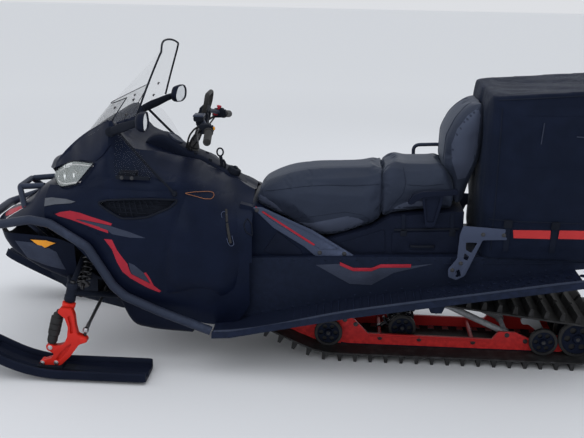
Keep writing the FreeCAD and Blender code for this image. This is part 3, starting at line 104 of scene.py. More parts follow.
# %% [markdown]
# ## The studio
#
# An overcast sky is one huge soft lamp, so the light here is a few large area lamps and a plain
# world. Which ray is looking decides what it sees: rays from the camera, and those that gloss and
# clear plastic send on, see the backdrop's tone, and the rays that light the machine see the sky's
# light. The floor pales with distance, as snow and haze do, so that the backdrop stays light.

# %% Floor, world and lamps
FLOOR_SIZE = 60.0
FLOOR_ROUGHNESS = 0.85
FLOOR_TONE = (0.72, 0.735, 0.765, 1.0)
FAR_FLOOR_TONE = (0.83, 0.845, 0.87, 1.0)
FAR_FLOOR = (2.4, 9.0)  # how far out the floor starts to pale, and where it has done so, in metres
SKY_TONE = (0.72, 0.735, 0.765, 1.0)
SKY_LIGHT_TONE = (0.86, 0.88, 0.91, 1.0)
SKY_LIGHT = 0.88
# Lamps: name, place, target, size, power
LAMPS = (
    ("lamp_sky", (0.0, 1.2, 5.2), (0.0, 0.0, 0.6), 5.0, 60.0),
    ("lamp_side", (1.6, 4.6, 2.6), (0.0, 0.2, 0.7), 3.2, 26.0),
    ("lamp_back", (-2.5, -4.0, 2.8), (0.0, 0.0, 0.8), 3.0, 22.0),
    ("lamp_nose", (4.6, 0.8, 1.9), (1.0, 0.0, 0.8), 2.2, 12.0),
)


def link(obj):
    bpy.context.scene.collection.objects.link(obj)
    return obj


def make_world():
    world = bpy.data.worlds.new("studio")
    bpy.context.scene.world = world
    world.use_nodes = True
    tree = world.node_tree
    tree.nodes.clear()
    rays = tree.nodes.new("ShaderNodeLightPath")
    seen = rays.outputs["Is Camera Ray"]
    for other in ("Is Transmission Ray", "Is Glossy Ray"):
        either = tree.nodes.new("ShaderNodeMath")
        either.operation = "MAXIMUM"
        tree.links.new(seen, either.inputs[0])
        tree.links.new(rays.outputs[other], either.inputs[1])
        seen = either.outputs[0]
    plain = tree.nodes.new("ShaderNodeBackground")
    plain.inputs["Color"].default_value = SKY_LIGHT_TONE
    plain.inputs["Strength"].default_value = SKY_LIGHT
    shown = tree.nodes.new("ShaderNodeBackground")
    shown.inputs["Color"].default_value = SKY_TONE
    mix = tree.nodes.new("ShaderNodeMixShader")
    tree.links.new(seen, mix.inputs[0])
    tree.links.new(plain.outputs[0], mix.inputs[1])
    tree.links.new(shown.outputs[0], mix.inputs[2])
    out = tree.nodes.new("ShaderNodeOutputWorld")
    tree.links.new(mix.outputs[0], out.inputs["Surface"])


def make_floor():
    half = FLOOR_SIZE / 2
    mesh = bpy.data.meshes.new("floor")
    corners = [(-half, -half, 0), (half, -half, 0), (half, half, 0), (-half, half, 0)]
    mesh.from_pydata(corners, [], [(0, 1, 2, 3)])
    floor = link(bpy.data.objects.new("floor", mesh))
    paint = bpy.data.materials.new("floor")
    paint.use_nodes = True
    shader = paint.node_tree.nodes["Principled BSDF"]
    tree = paint.node_tree
    length = tree.nodes.new("ShaderNodeVectorMath")
    length.operation = "LENGTH"
    tree.links.new(tree.nodes.new("ShaderNodeTexCoord").outputs["Object"], length.inputs[0])
    distance = tree.nodes.new("ShaderNodeMapRange")
    distance.inputs["From Min"].default_value, distance.inputs["From Max"].default_value = FAR_FLOOR
    tree.links.new(length.outputs["Value"], distance.inputs["Value"])
    tone = tree.nodes.new("ShaderNodeMix")
    tone.data_type = "RGBA"
    tone.inputs[6].default_value = FLOOR_TONE
    tone.inputs[7].default_value = FAR_FLOOR_TONE
    tree.links.new(distance.outputs["Result"], tone.inputs["Factor"])
    tree.links.new(tone.outputs[2], shader.inputs["Base Color"])
    shader.inputs["Roughness"].default_value = FLOOR_ROUGHNESS
    mesh.materials.append(paint)


def make_lamps():
    for name, place, target, size, power in LAMPS:
        data = bpy.data.lights.new(name, "AREA")
        data.size = size
        data.energy = power
        lamp = link(bpy.data.objects.new(name, data))
        way = Vector(target) - Vector(place)
        lamp.matrix_world = Matrix.Translation(place) @ way.to_track_quat("-Z", "Y").to_matrix().to_4x4()


make_world()
make_floor()
make_lamps()
bpy.context.scene.view_settings.view_transform = "Standard"
print("lamps", len(LAMPS))

# %% [markdown]
# ## Shader maths that reads like maths
#
# A material is a graph of nodes. Wiring Math nodes by hand hides the idea behind the plumbing, so a
# small class wraps a socket and overloads the operators: `1 - mask * 0.4` then adds its own nodes.
# Every other node comes from one method that takes its type, its settings and its sockets.

# %% Wire and Finish
class Wire:
    """One output socket, with arithmetic that adds Math nodes."""

    def __init__(self, finish, socket):
        self.finish = finish
        self.socket = socket

    def maths(self, operation, first, second):
        made = self.finish.add("ShaderNodeMath", {"operation": operation}, {0: first, 1: second})
        return made["Value"]

    def __add__(self, other):
        return self.maths("ADD", self, other)

    def __radd__(self, other):
        return self.maths("ADD", other, self)

    def __sub__(self, other):
        return self.maths("SUBTRACT", self, other)

    def __rsub__(self, other):
        return self.maths("SUBTRACT", other, self)

    def __mul__(self, other):
        return self.maths("MULTIPLY", self, other)

    def __rmul__(self, other):
        return self.maths("MULTIPLY", other, self)

    def __pow__(self, other):
        return self.maths("POWER", self, other)

    def sine(self):
        return self.maths("SINE", self, 0.0)

    def within(self, low, high):
        """Runs from 0 to 1 as this value runs from low to high, and stays there."""
        made = self.finish.add(
            "ShaderNodeMapRange", {"clamp": True},
            {"Value": self, "From Min": low, "From Max": high},
        )
        return made["Result"]


class Made:
    """A node whose outputs come back as wires."""

    def __init__(self, finish, node):
        self.finish = finish
        self.node = node

    def __getitem__(self, name):
        return Wire(self.finish, self.node.outputs[name])


class Finish:
    """A material with one Principled shader."""

    def __init__(self, name, colour, roughness, **fixed):
        self.material = bpy.data.materials.new(name)
        self.material.use_nodes = True
        self.tree = self.material.node_tree
        self.shader = self.tree.nodes["Principled BSDF"]
        self.material.diffuse_color = (*colour, 1.0)
        self.shader.inputs["Base Color"].default_value = (*colour, 1.0)
        self.shader.inputs["Roughness"].default_value = roughness
        for name, value in fixed.items():
            self.shader.inputs[name.replace("_", " ")].default_value = value
        self.colour = colour

    def add(self, kind, settings=None, sockets=None):
        node = self.tree.nodes.new(kind)
        for name, value in (settings or {}).items():
            if name == "stops":
                self.fill_ramp(node.color_ramp, value)
            else:
                setattr(node, name, value)
        for name, value in (sockets or {}).items():
            self.feed(node.inputs[name], value)
        return Made(self, node)

    def fill_ramp(self, ramp, stops):
        while len(ramp.elements) < len(stops):
            ramp.elements.new(0.5)
        for element, (place, colour) in zip(ramp.elements, stops):
            element.position = place
            element.color = (*colour, 1.0)

    def feed(self, socket, value):
        if isinstance(value, Wire):
            self.tree.links.new(value.socket, socket)
        elif isinstance(value, tuple) and len(value) == 3 and socket.type == "RGBA":
            socket.default_value = (*value, 1.0)
        else:
            socket.default_value = value

    def set(self, name, value):
        self.feed(self.shader.inputs[name], value)

    def place(self):
        """The point being shaded, in metres in the piece's own frame."""
        return self.add("ShaderNodeTexCoord")["Object"]

    def parts(self):
        """The same point as three wires x, y and z."""
        split = self.add("ShaderNodeSeparateXYZ", None, {"Vector": self.place()})
        return split["X"], split["Y"], split["Z"]

    def grain(self, size, detail=2.0, stretch=(1.0, 1.0, 1.0)):
        """Soft noise whose blotches are about size metres wide."""
        scaled = self.add("ShaderNodeMapping", None, {"Vector": self.place(), "Scale": stretch})
        return self.add(
            "ShaderNodeTexNoise", None,
            {"Vector": scaled["Vector"], "Scale": 1.0 / size, "Detail": detail},
        )["Fac"]

    def cells(self, size, feature="F1"):
        """Cell pattern with cells about size metres wide."""
        return self.add(
            "ShaderNodeTexVoronoi", {"feature": feature},
            {"Vector": self.place(), "Scale": 1.0 / size},
        )["Distance"]

    def blend(self, amount, first, second):
        made = self.add("ShaderNodeMix", {"data_type": "RGBA"}, None)
        self.feed(made.node.inputs["Factor"], amount)
        self.feed(made.node.inputs[6], first)
        self.feed(made.node.inputs[7], second)
        return Wire(self, made.node.outputs[2])

    def bump(self, height, depth):
        made = self.add("ShaderNodeBump", None, {"Height": height, "Distance": depth})
        self.set("Normal", made["Normal"])
        return self

    def worn_edges(self, tone, amount=0.5):
        """Lighter, rubbed colour where the surface turns sharply outwards."""
        point = self.add("ShaderNodeNewGeometry")["Pointiness"]
        mask = point.within(*SHARP_TURN) * self.grain(0.02, 4.0).within(0.35, 0.65) * amount
        self.set("Base Color", self.blend(mask, self.colour, tone))
        return self


SHARP_TURN = (0.53, 0.60)  # Pointiness is 0.5 on a flat face and higher on an outer edge


def lighter(colour, factor):
    return tuple(min(1.0, c * factor) for c in colour)


# %% [markdown]
# ## The finishes
#
# Most of the machine is black, but there are many blacks: glossy moulded panels, grained plastic,
# powder-coated sheet, rubber, vinyl and woven fabric. What tells them apart is how rough they are,
# how fine their grain is, and how dust and handling change the roughness from place to place.

# %% Moulded plastics
COOL = (0.60, 0.75, 1.0, 1.0)  # under an overcast sky, black things gleam bluish


def make_plastic(name, colour, roughness, grain_size, depth, spread=0.10, coat=0.0):
    """Plastic moulded in its own colour: fine grain, and handling marks that vary the gloss."""
    finish = Finish(name, colour, roughness, Coat_Roughness=0.12, Specular_IOR_Level=0.11, Specular_Tint=COOL)
    handled = finish.grain(0.11, 3.0)
    scuffs = finish.grain(0.018, 5.0, (1.0, 3.0, 3.0)).within(0.55, 0.75)
    finish.set("Roughness", roughness - spread + handled * (2 * spread) + scuffs * 0.06)
    tint = finish.blend(handled.within(0.3, 0.8), lighter(colour, 0.82), lighter(colour, 1.25))
    finish.set("Base Color", finish.blend(scuffs * 0.16, tint, lighter(colour, 2.6)))
    if coat:
        finish.shader.inputs["Coat Weight"].default_value = coat
    finish.bump(finish.cells(grain_size) * 0.6 + finish.grain(grain_size * 2.0, 2.0), depth)
    return finish.material


BODY_TONE = (0.0047, 0.0071, 0.0190)
GRAIN_TONE = (0.0060, 0.0080, 0.0180)
GREY_TONE = (0.036, 0.043, 0.068)
gloss_black = make_plastic("gloss_black", BODY_TONE, 0.36, 0.0007, 0.00003, 0.07)
grained_black = make_plastic("grained_black", GRAIN_TONE, 0.58, 0.0011, 0.00014)
soft_black = make_plastic("soft_black", (0.0095, 0.0110, 0.0165), 0.72, 0.0014, 0.00018)
grey_trim = make_plastic("grey_trim", GREY_TONE, 0.44, 0.0009, 0.00008)
crease_trim = make_plastic("crease_trim", (0.0120, 0.0150, 0.0270), 0.42, 0.0009, 0.00006)
# Pale plastic: the headlight baffles' own colour, and also the painted reflection on the nose's side
pale_trim_and_painted_reflection = make_plastic("pale_trim_and_painted_reflection", (0.085, 0.092, 0.108), 0.40, 0.0009, 0.00006)
red_trim = make_plastic("red_trim", (0.34, 0.022, 0.036), 0.36, 0.0008, 0.00004)
amber_lens = make_plastic("amber_lens", (0.86, 0.32, 0.012), 0.22, 0.0035, 0.00025, 0.04, 0.6)
white_trim = make_plastic("white_trim", (0.62, 0.58, 0.60), 0.38, 0.0008, 0.00004)
copper_line = make_plastic("copper_line", (0.30, 0.125, 0.060), 0.42, 0.0010, 0.00005)
print("plastics made")


# %% Painted and bare metals
def make_painted(name, colour, roughness, flake=0.0):
    """Powder coat: a fine orange-peel skin, rubbed through to primer on its sharp edges."""
    finish = Finish(name, colour, roughness, Specular_IOR_Level=0.22, Specular_Tint=COOL)
    finish.worn_edges(lighter(colour, 2.8), 0.4)
    finish.set("Roughness", roughness - 0.05 + finish.grain(0.05, 3.0) * 0.16)
    finish.bump(finish.grain(0.0024, 1.0), 0.00008)
    if flake:
        finish.shader.inputs["Metallic"].default_value = flake
    return finish.material


def make_metal(name, colour, roughness, stretch=(1.0, 1.0, 1.0), depth=0.00006):
    """Bare metal with machining or casting marks."""
    finish = Finish(name, colour, roughness, Metallic=1.0)
    marks = finish.grain(0.004, 4.0, stretch)
    finish.set("Roughness", roughness - 0.10 + marks * 0.24)
    finish.set("Base Color", finish.blend(finish.grain(0.03, 3.0), lighter(colour, 0.7), colour))
    finish.bump(marks, depth)
    return finish.material


tube_paint = make_painted("tube_paint", (0.0210, 0.0260, 0.0440), 0.44)
sheet_paint = make_painted("sheet_paint", (0.0052, 0.0076, 0.0190), 0.56)
frame_paint = make_painted("frame_paint", (0.0070, 0.0085, 0.0150), 0.62)
grey_paint = make_painted("grey_paint", (0.046, 0.057, 0.096), 0.48)
casting_grey = make_painted("casting_grey", (0.19, 0.195, 0.205), 0.58, 0.2)
spindle_red_paint = make_painted("spindle_red_paint", (0.56, 0.022, 0.012), 0.40)
rail_red_paint = make_painted("rail_red_paint", (0.40, 0.020, 0.018), 0.46)
spring_paint = make_painted("spring_paint", (0.020, 0.020, 0.023), 0.40)
bare_steel = make_metal("bare_steel", (0.50, 0.50, 0.52), 0.34, (1.0, 8.0, 1.0))
cast_metal = make_metal("cast_metal", (0.62, 0.63, 0.65), 0.42, (1.0, 1.0, 1.0), 0.0003)
dark_bolt = make_metal("dark_bolt", (0.075, 0.076, 0.082), 0.38)
bright_bolt = make_metal("bright_bolt", (0.60, 0.60, 0.62), 0.28)
mirror_silver = make_metal("mirror_silver", (0.86, 0.88, 0.90), 0.12, (1.0, 1.0, 1.0), 0.0)
print("metals made")


# %% Rubber, vinyl, fabric and clear plastic
def make_rubber(name, colour, roughness, dust):
    """Rubber, greyed where dust stays."""
    finish = Finish(name, colour, roughness, Specular_IOR_Level=0.35)
    grey = finish.grain(0.035, 5.0).within(0.45, 0.75) * dust
    finish.set("Base Color", finish.blend(grey, colour, (0.060, 0.062, 0.066)))
    finish.set("Roughness", roughness + grey * 0.12)
    finish.bump(finish.grain(0.0022, 3.0) + finish.cells(0.004) * 0.4, 0.00025)
    return finish.material


def make_vinyl(name, colour, roughness):
    """Seat cover: small pebbled cells over a soft woven backing."""
    finish = Finish(name, colour, roughness, Sheen_Weight=0.08, Sheen_Roughness=0.45,
                    Specular_IOR_Level=0.26, Specular_Tint=COOL, Sheen_Tint=COOL)
    worn = finish.grain(0.16, 3.0)
    finish.set("Base Color", finish.blend(worn.within(0.3, 0.8), lighter(colour, 0.85), lighter(colour, 1.2)))
    finish.set("Roughness", roughness - 0.08 + worn * 0.18)
    pebbles = finish.cells(0.0019, "SMOOTH_F1") + finish.cells(0.0034, "SMOOTH_F1") * 0.5
    finish.bump(pebbles + finish.grain(0.010, 3.0) * 0.5, 0.00035)
    return finish.material


def make_weave(name, colour, roughness, pitch, fade):
    """Coated woven cloth: crossed yarns at their real pitch, a little faded where folds rub."""
    finish = Finish(name, colour, roughness, Sheen_Weight=0.03, Sheen_Roughness=0.5,
                    Specular_IOR_Level=0.12, Specular_Tint=COOL, Sheen_Tint=COOL)
    x, y, z = finish.parts()
    turn = 2 * math.pi / pitch
    warp = ((x + y) * turn).sine()
    weft = (z * turn).sine()
    yarns = warp * weft
    faded = finish.grain(0.09, 5.0).within(0.42, 0.72) * fade
    finish.set("Base Color", finish.blend(faded, colour, lighter(colour, 2.1)))
    finish.set("Roughness", roughness + yarns * 0.05)
    finish.bump(yarns * 0.5 + finish.grain(0.012, 4.0) * 1.4, 0.0005)
    return finish.material


def make_clear(name, colour, alpha, roughness, rim=0.45):
    """Clear moulded plastic: it shows by its reflections and its edges."""
    finish = Finish(name, colour, roughness, Specular_IOR_Level=0.5)
    edge = finish.add("ShaderNodeLayerWeight", None, {"Blend": 0.22})["Facing"]
    haze = finish.grain(0.25, 3.0)
    finish.set("Alpha", alpha + (edge ** 3.0) * rim + haze * 0.02)
    finish.set("Roughness", roughness + haze * 0.05)
    finish.bump(finish.grain(0.30, 1.0), 0.0004)
    return finish.material


track_rubber = make_rubber("track_rubber", (0.0110, 0.0110, 0.0120), 0.72, 0.55)
grip_rubber = make_rubber("grip_rubber", (0.0125, 0.0125, 0.0135), 0.66, 0.15)
flap_rubber = make_rubber("flap_rubber", (0.0130, 0.0130, 0.0140), 0.64, 0.35)
seat_dark = make_vinyl("seat_dark", (0.0185, 0.0230, 0.0390), 0.54)
seat_side = make_vinyl("seat_side", (0.0090, 0.0120, 0.0235), 0.58)
seat_patch = make_vinyl("seat_patch", (0.0490, 0.0580, 0.0900), 0.52)
bag_cloth = make_weave("bag_cloth", (0.0052, 0.0078, 0.0190), 0.68, 0.0020, 0.30)
strap_web = make_weave("strap_web", (0.0070, 0.0092, 0.0180), 0.68, 0.0030, 0.25)
strip_red = make_weave("strip_red", (0.52, 0.040, 0.040), 0.40, 0.0026, 0.05)
screen_clear = make_clear("screen_clear", (0.62, 0.64, 0.66), 0.035, 0.04, 0.16)
deflector_clear = make_clear("deflector_clear", (0.010, 0.012, 0.018), 0.03, 0.45, 0.0)
screen_tint = make_clear("screen_tint", (0.035, 0.040, 0.050), 0.12, 0.20, 0.10)
lens_clear = make_clear("lens_clear", (0.72, 0.78, 0.76), 0.16, 0.03)
print("materials", len(bpy.data.materials))

# %% [markdown]
# ## Making forms
#
# A few helpers make nearly every piece: a plate with holes from its outline, a body turned round an
# axis, a tube along a path with rounded corners, and a skin through rows of points. Each returns a
# bmesh, so that several can be joined into one piece before it becomes an object.

# %% From bmesh to a finished piece
MILLI = 0.001


def mm(*values):
    """Millimetres to a vector in metres."""
    return Vector(values) * MILLI


def joined(*forms):
    """One bmesh holding all the others."""
    whole = bmesh.new()
    for form in forms:
        spare = bpy.data.meshes.new("spare")
        form.to_mesh(spare)
        form.free()
        whole.from_mesh(spare)
        bpy.data.meshes.remove(spare)
    return whole


def mirrored(form):
    """A copy on the machine's other side."""
    copy = form.copy()
    bmesh.ops.scale(copy, vec=(1, -1, 1), verts=copy.verts)
    bmesh.ops.reverse_faces(copy, faces=copy.faces)
    return copy


def as_object(form, name):
    """The bmesh as an object in the scene."""
    mesh = bpy.data.meshes.new(name)
    form.to_mesh(mesh)
    form.free()
    return link(bpy.data.objects.new(name, mesh))


def as_form(obj):
    """The object's mesh as a bmesh; the object goes."""
    form = bmesh.new()
    form.from_mesh(obj.data)
    mesh = obj.data
    bpy.data.objects.remove(obj)
    bpy.data.meshes.remove(mesh)
    return form


def piece(name, form, finish, node, stands=False, smooth=35.0):
    """Makes the object, with its finish and body; stands is True, or the solids that it stands for."""
    bmesh.ops.recalc_face_normals(form, faces=form.faces)
    obj = as_object(form, name)
    obj.data.materials.append(finish)
    obj.data.shade_smooth()
    obj.data.set_sharp_from_angle(angle=math.radians(smooth))
    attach(obj, body_of_node[node])
    slot_of_node[node]
    if stands:
        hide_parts(*((node,) if stands is True else stands))
    return obj


def both(name, form, finish, node, **extra):
    """A left piece and its mirror image."""
    other = mirrored(form)
    piece(name + "_left", form, finish, node, **extra)
    piece(name + "_right", other, finish, node, **extra)


def settled(obj, *modifiers):
    """Adds modifiers as (kind, {settings}) and turns the result into the plain mesh."""
    for kind, settings in modifiers:
        made = obj.modifiers.new(kind.lower(), kind)
        for name, value in settings.items():
            setattr(made, name, value)
    bpy.context.view_layer.update()
    graph = bpy.context.evaluated_depsgraph_get()
    mesh = bpy.data.meshes.new_from_object(obj.evaluated_get(graph))
    old = obj.data
    obj.modifiers.clear()
    obj.data = mesh
    bpy.data.meshes.remove(old)
    return obj


def thickened(form, thickness, offset=-1.0):
    """Gives an open surface its thickness, in millimetres: offset -1 puts it all behind the surface."""
    settings = {"thickness": thickness * MILLI, "offset": offset}
    return as_form(settled(as_object(form, "work"), ("SOLIDIFY", settings)))


def facing(form, axis):
    """Turns an open surface round if most of it looks away from that axis (0 is x, 1 is y, 2 is z)."""
    bmesh.ops.recalc_face_normals(form, faces=form.faces)
    if sum(f.normal[axis] * f.calc_area() for f in form.faces) < 0:
        bmesh.ops.reverse_faces(form, faces=form.faces)
    return form


# %% Flat plates
SHARP_EDGE = math.radians(35.0)
ACROSS = {"x": Vector((1, 0, 0)), "y": Vector((0, 1, 0)), "z": Vector((0, 0, 1))}


def bevelled(form, width, segments=2):
    sharp = [e for e in form.edges if len(e.link_faces) == 2 and e.calc_face_angle(0.0) > SHARP_EDGE]
    bmesh.ops.bevel(form, geom=sharp, offset=width, segments=segments, affect="EDGES", profile=0.6,
                    clamp_overlap=True)
    return form


def plate(outline, low, high, holes=(), bevel=0.0, axis="y", segments=2):
    """Flat plate from a view along axis, in millimetres, between two places along that axis."""
    form = bmesh.new()
    placed = {
        "x": lambda a, b: mm(low, a, b),
        "y": lambda a, b: mm(a, low, b),
        "z": lambda a, b: mm(a, b, low),
    }
    edges = []
    for ring in (outline, *holes):
        verts = [form.verts.new(placed[axis](a, b)) for a, b in ring]
        edges += [form.edges.new((a, b)) for a, b in zip(verts, verts[1:] + verts[:1])]
    bmesh.ops.triangle_fill(form, use_beauty=True, use_dissolve=False, edges=edges)
    bmesh.ops.dissolve_limit(form, angle_limit=0.01, verts=form.verts, edges=form.edges)
    made = bmesh.ops.extrude_face_region(form, geom=form.faces[:])
    moved = [g for g in made["geom"] if isinstance(g, bmesh.types.BMVert)]
    bmesh.ops.translate(form, vec=ACROSS[axis] * (high - low) * MILLI, verts=moved)
    bmesh.ops.recalc_face_normals(form, faces=form.faces)
    if bevel:
        bevelled(form, bevel * MILLI, segments)
    return form


def around(count):
    """Angles that divide a full turn evenly."""
    return [2 * math.pi * k / count for k in range(count)]


def circle(x, z, radius, count=20):
    return [(x + radius * math.cos(t), z + radius * math.sin(t)) for t in around(count)]


def corner_arc(before, corner, after, radius, share, steps):
    """Points of a rounded corner, which takes up no more than a share of either side."""
    reach = min(radius, share * (before - corner).length, share * (after - corner).length)
    a = corner + (before - corner).normalized() * reach
    b = corner + (after - corner).normalized() * reach
    arc = []
    for step in range(steps + 1):
        t = step / steps
        arc.append(a * (1 - t) ** 2 + corner * (2 * t * (1 - t)) + b * t * t)
    return arc


def rounded(outline, radius):
    """The same closed outline with its corners rounded."""
    result = []
    corners = [Vector(p) for p in outline]
    for before, corner, after in zip(corners[-1:] + corners, corners, corners[1:] + corners[:1]):
        result += [tuple(p) for p in corner_arc(before, corner, after, radius, 0.45, 4)]
    return result


# %% Turned bodies, tubes and springs
def bridged(rings, closed=False):
    """Skin through rings of points in metres, with both ends filled unless the last meets the first."""
    form = bmesh.new()
    made = [[form.verts.new(p) for p in ring] for ring in rings]
    steps = list(zip(made, made[1:]))
    if closed:
        steps.append((made[-1], made[0]))
    for low, high in steps:
        for k in range(len(low)):
            n = (k + 1) % len(low)
            form.faces.new((low[k], low[n], high[n], high[k]))
    if not closed:
        form.faces.new(list(reversed(made[0])))
        form.faces.new(made[-1])
    return form


def frame_along(way):
    """Two directions square to way and to each other."""
    side = ACROSS["z"] if abs(way.z) < 0.9 else ACROSS["x"]
    first = way.cross(side).normalized()
    return first, way.cross(first).normalized()


def turned(start, end, profile, segments=24):
    """Body round the line from start to end. Profile rows: share of the length, radius in millimetres."""
    way = end - start
    first, second = frame_along(way.normalized())
    rings = []
    for share, radius in profile:
        centre = start + way * share
        rings.append([centre + (first * math.cos(t) + second * math.sin(t)) * radius * MILLI
                      for t in around(segments)])
    return bridged(rings)


def round_bar(start, end, radius, segments=16):
    """Plain round bar."""
    return turned(start, end, ((0, radius), (1, radius)), segments)


def softened(points, radius):
    """A path in millimetres with each corner rounded by that much."""
    path = [mm(*p) for p in points]
    result = [path[0]]
    for before, corner, after in zip(path, path[1:], path[2:]):
        result += corner_arc(before, corner, after, radius * MILLI, 0.48, 6)
    result.append(path[-1])
    return result


def swept(path, radius, sides=14, flat=1.0, closed=False, taper=None):
    """Tube along a path in metres; flat squashes its section across."""
    rings = []
    count = len(path)
    first = None
    for k, point in enumerate(path):
        ahead = path[(k + 1) % count] if closed or k < count - 1 else point
        behind = path[k - 1] if closed or k > 0 else point
        way = (ahead - behind).normalized()
        if first is None:
            first, second = frame_along(way)
        else:
            first = (first - way * first.dot(way)).normalized()
            second = way.cross(first).normalized()
        size = radius * MILLI * (taper(k / (count - 1)) if taper else 1.0)
        rings.append([point + first * math.cos(t) * size * flat + second * math.sin(t) * size
                      for t in around(sides)])
    return bridged(rings, closed)


def pipe(points, radius, corner=20.0, sides=14, flat=1.0):
    return swept(softened(points, corner), radius, sides, flat)


COIL_STEPS = 20


def coil(start, end, radius, wire, turns):
    """Helical spring between two points in metres."""
    way = end - start
    first, second = frame_along(way.normalized())
    path = []
    total = int(turns * COIL_STEPS)
    for k in range(total + 1):
        t = 2 * math.pi * k / COIL_STEPS
        path.append(start + way * (k / total) + (first * math.cos(t) + second * math.sin(t)) * radius * MILLI)
    return swept(path, wire, 8)


# %% Skins and bolts
def skin(rows):
    """Open surface through rows of points in millimetres."""
    form = bmesh.new()
    grid = [[form.verts.new(mm(*p)) for p in row] for row in rows]
    for low, high in zip(grid, grid[1:]):
        for a, b in zip(range(len(low) - 1), range(1, len(low))):
            form.faces.new((low[a], low[b], high[b], high[a]))
    return form


FLANGE = 1.5


def bolts(places, way, radius=8.0, height=5.0):
    """Flanged hex heads at places in metres, standing out along way."""
    forms = []
    way = Vector(way).normalized()
    flange = radius * FLANGE
    for place in places:
        base = Vector(place)
        forms.append(turned(base - way * 0.002, base + way * height * 0.3 * MILLI,
                            ((0.0, flange), (0.7, flange), (1.0, flange * 0.9)), 20))
        forms.append(turned(base, base + way * height * MILLI,
                            ((0.0, radius), (0.82, radius), (1.0, radius * 0.8)), 6))
    return joined(*forms)


print("helpers ready")

# %% [markdown]
# ## The bodywork's one smooth surface
#
# The real body is a set of moulded panels that all lie on one flowing surface, with thin dark gaps
# between them. So the surface comes first: at a dozen stations along the machine we write down how
# far out the body reaches at a few heights, and a monotone cubic runs smoothly through those
# figures, first up and down, then along. Such a cubic never overshoots, so no panel gets a dent.

# %% A smooth curve through measured points
from bisect import bisect_right


def smooth_curve(points):
    """Monotone cubic through (place, value) pairs in rising order."""
    places = [p for p, v in points]
    values = [v for p, v in points]
    steps = [b - a for a, b in zip(places, places[1:])]
    rises = [(b - a) / s for a, b, s in zip(values, values[1:], steps)]
    slopes = [rises[0]]
    for before, after in zip(rises, rises[1:]):
        slopes.append(0.0 if before * after <= 0 else 2 * before * after / (before + after))
    slopes.append(rises[-1])

    def value(place):
        place = min(max(place, places[0]), places[-1])
        k = min(max(bisect_right(places, place) - 1, 0), len(steps) - 1)
        t = (place - places[k]) / steps[k]
        rest = 1 - t
        return ((1 + 2 * t) * rest * rest * values[k] + t * rest * rest * steps[k] * slopes[k]
                + t * t * (3 - 2 * t) * values[k + 1] - t * t * rest * steps[k] * slopes[k + 1])

    return value


# %% Stations of the body's side
# Each row: x, then pairs of height and half width, from the lower edge up
BODY_STATIONS = (
    (150, ((330, 300), (480, 322), (600, 322), (680, 296), (735, 236), (772, 120), (782, 66))),
    (250, ((200, 316), (330, 330), (480, 352), (600, 352), (690, 316), (750, 236), (806, 124), (834, 63))),
    (340, ((200, 322), (300, 344), (480, 380), (620, 378), (740, 326), (838, 226), (879, 77))),
    (437, ((220, 330), (300, 352), (480, 390), (640, 390), (780, 350), (874, 300), (933, 99))),
    (520, ((250, 340), (320, 362), (500, 392), (660, 394), (790, 374), (882, 344), (920, 250), (955, 137))),
    (614, ((300, 352), (345, 366), (500, 386), (680, 394), (800, 386), (886, 356), (945, 280), (988, 196))),
    (717, ((340, 362), (400, 368), (600, 382), (720, 384), (830, 370), (892, 350), (960, 300), (1016, 254))),
    (770, ((370, 361), (416, 367), (600, 378), (730, 380), (825, 366), (900, 336), (985, 292), (1074, 262))),
    (803, ((400, 360), (430, 366), (600, 374), (740, 374), (820, 360), (930, 322), (1080, 286), (1140, 266))),
    (880, ((480, 358), (640, 366), (740, 366), (810, 350), (862, 318), (1000, 262), (1102, 210))),
    (957, ((560, 352), (640, 360), (760, 356), (800, 338), (845, 300), (960, 222), (1054, 150))),
    (1053, ((640, 345), (700, 349), (760, 345), (800, 310), (824, 262), (900, 190), (974, 115))),
    (1110, ((655, 333), (716, 340), (760, 330), (800, 290), (835, 225), (905, 125))),
)
station_curves = [(x, smooth_curve(pairs)) for x, pairs in BODY_STATIONS]
body_low = smooth_curve([(x, pairs[0][0]) for x, pairs in BODY_STATIONS])
body_top = smooth_curve([(x, pairs[-1][0]) for x, pairs in BODY_STATIONS])
body_top_half = smooth_curve([(x, pairs[-1][1]) for x, pairs in BODY_STATIONS])
# Height of the body's middle line: x, z
body_middle = smooth_curve((
    (150, 770), (246, 822), (340, 864), (437, 914), (520, 938), (648, 986), (732, 1012),
    (803, 1040), (880, 1036), (957, 1034), (1009, 1010), (1053, 982), (1110, 918),
))


def flank(x, z):
    """Half width of the body at that place, in millimetres."""
    return smooth_curve([(place, curve(z)) for place, curve in station_curves])(x)


print("half width at the widest", round(max(flank(x, 640) for x in range(200, 1100, 50))), "mm")

# %% [markdown]
# The shell under the panels is a grid on that surface, set in by a few millimetres, carried over the
# top to the other side. It shows only in the gaps, as the dark inside of the real one does.

# %% The shell under the panels
SHELL_STEP = 24
SHELL_IN = 5.0
SIDE_STEPS = 30
CROWN_STEPS = 8


def shell_row(x, inward):
    """Points over the whole body at one station, from the left edge to the right edge."""
    left = []
    low = body_low(x)
    top = body_top(x)
    for k in range(SIDE_STEPS + 1):
        z = low + (top - low) * k / SIDE_STEPS
        left.append((x, flank(x, z) - inward, z))
    half = body_top_half(x) - inward
    middle = body_middle(x)
    for k in range(1, CROWN_STEPS + 1):
        share = k / CROWN_STEPS
        fall = min(1.0, 1.25 * share)
        blend = fall * fall * (3 - 2 * fall)
        left.append((x, half * (1 - share), top - inward * 0.6 + (middle - top) * blend))
    return left + [(x, -y, z) for x, y, z in reversed(left[:-1])]


# Openings in the shell, side views in millimetres
INTAKE_OPENING = [(846, 784), (805, 795), (701, 805), (609, 812), (500, 806), (530, 777), (624, 738),
                  (679, 729), (740, 725), (782, 745), (826, 768)]
LAMP_OPENING = [(1112, 826), (1048, 828), (964, 852), (884, 946), (1011, 932), (1112, 884)]


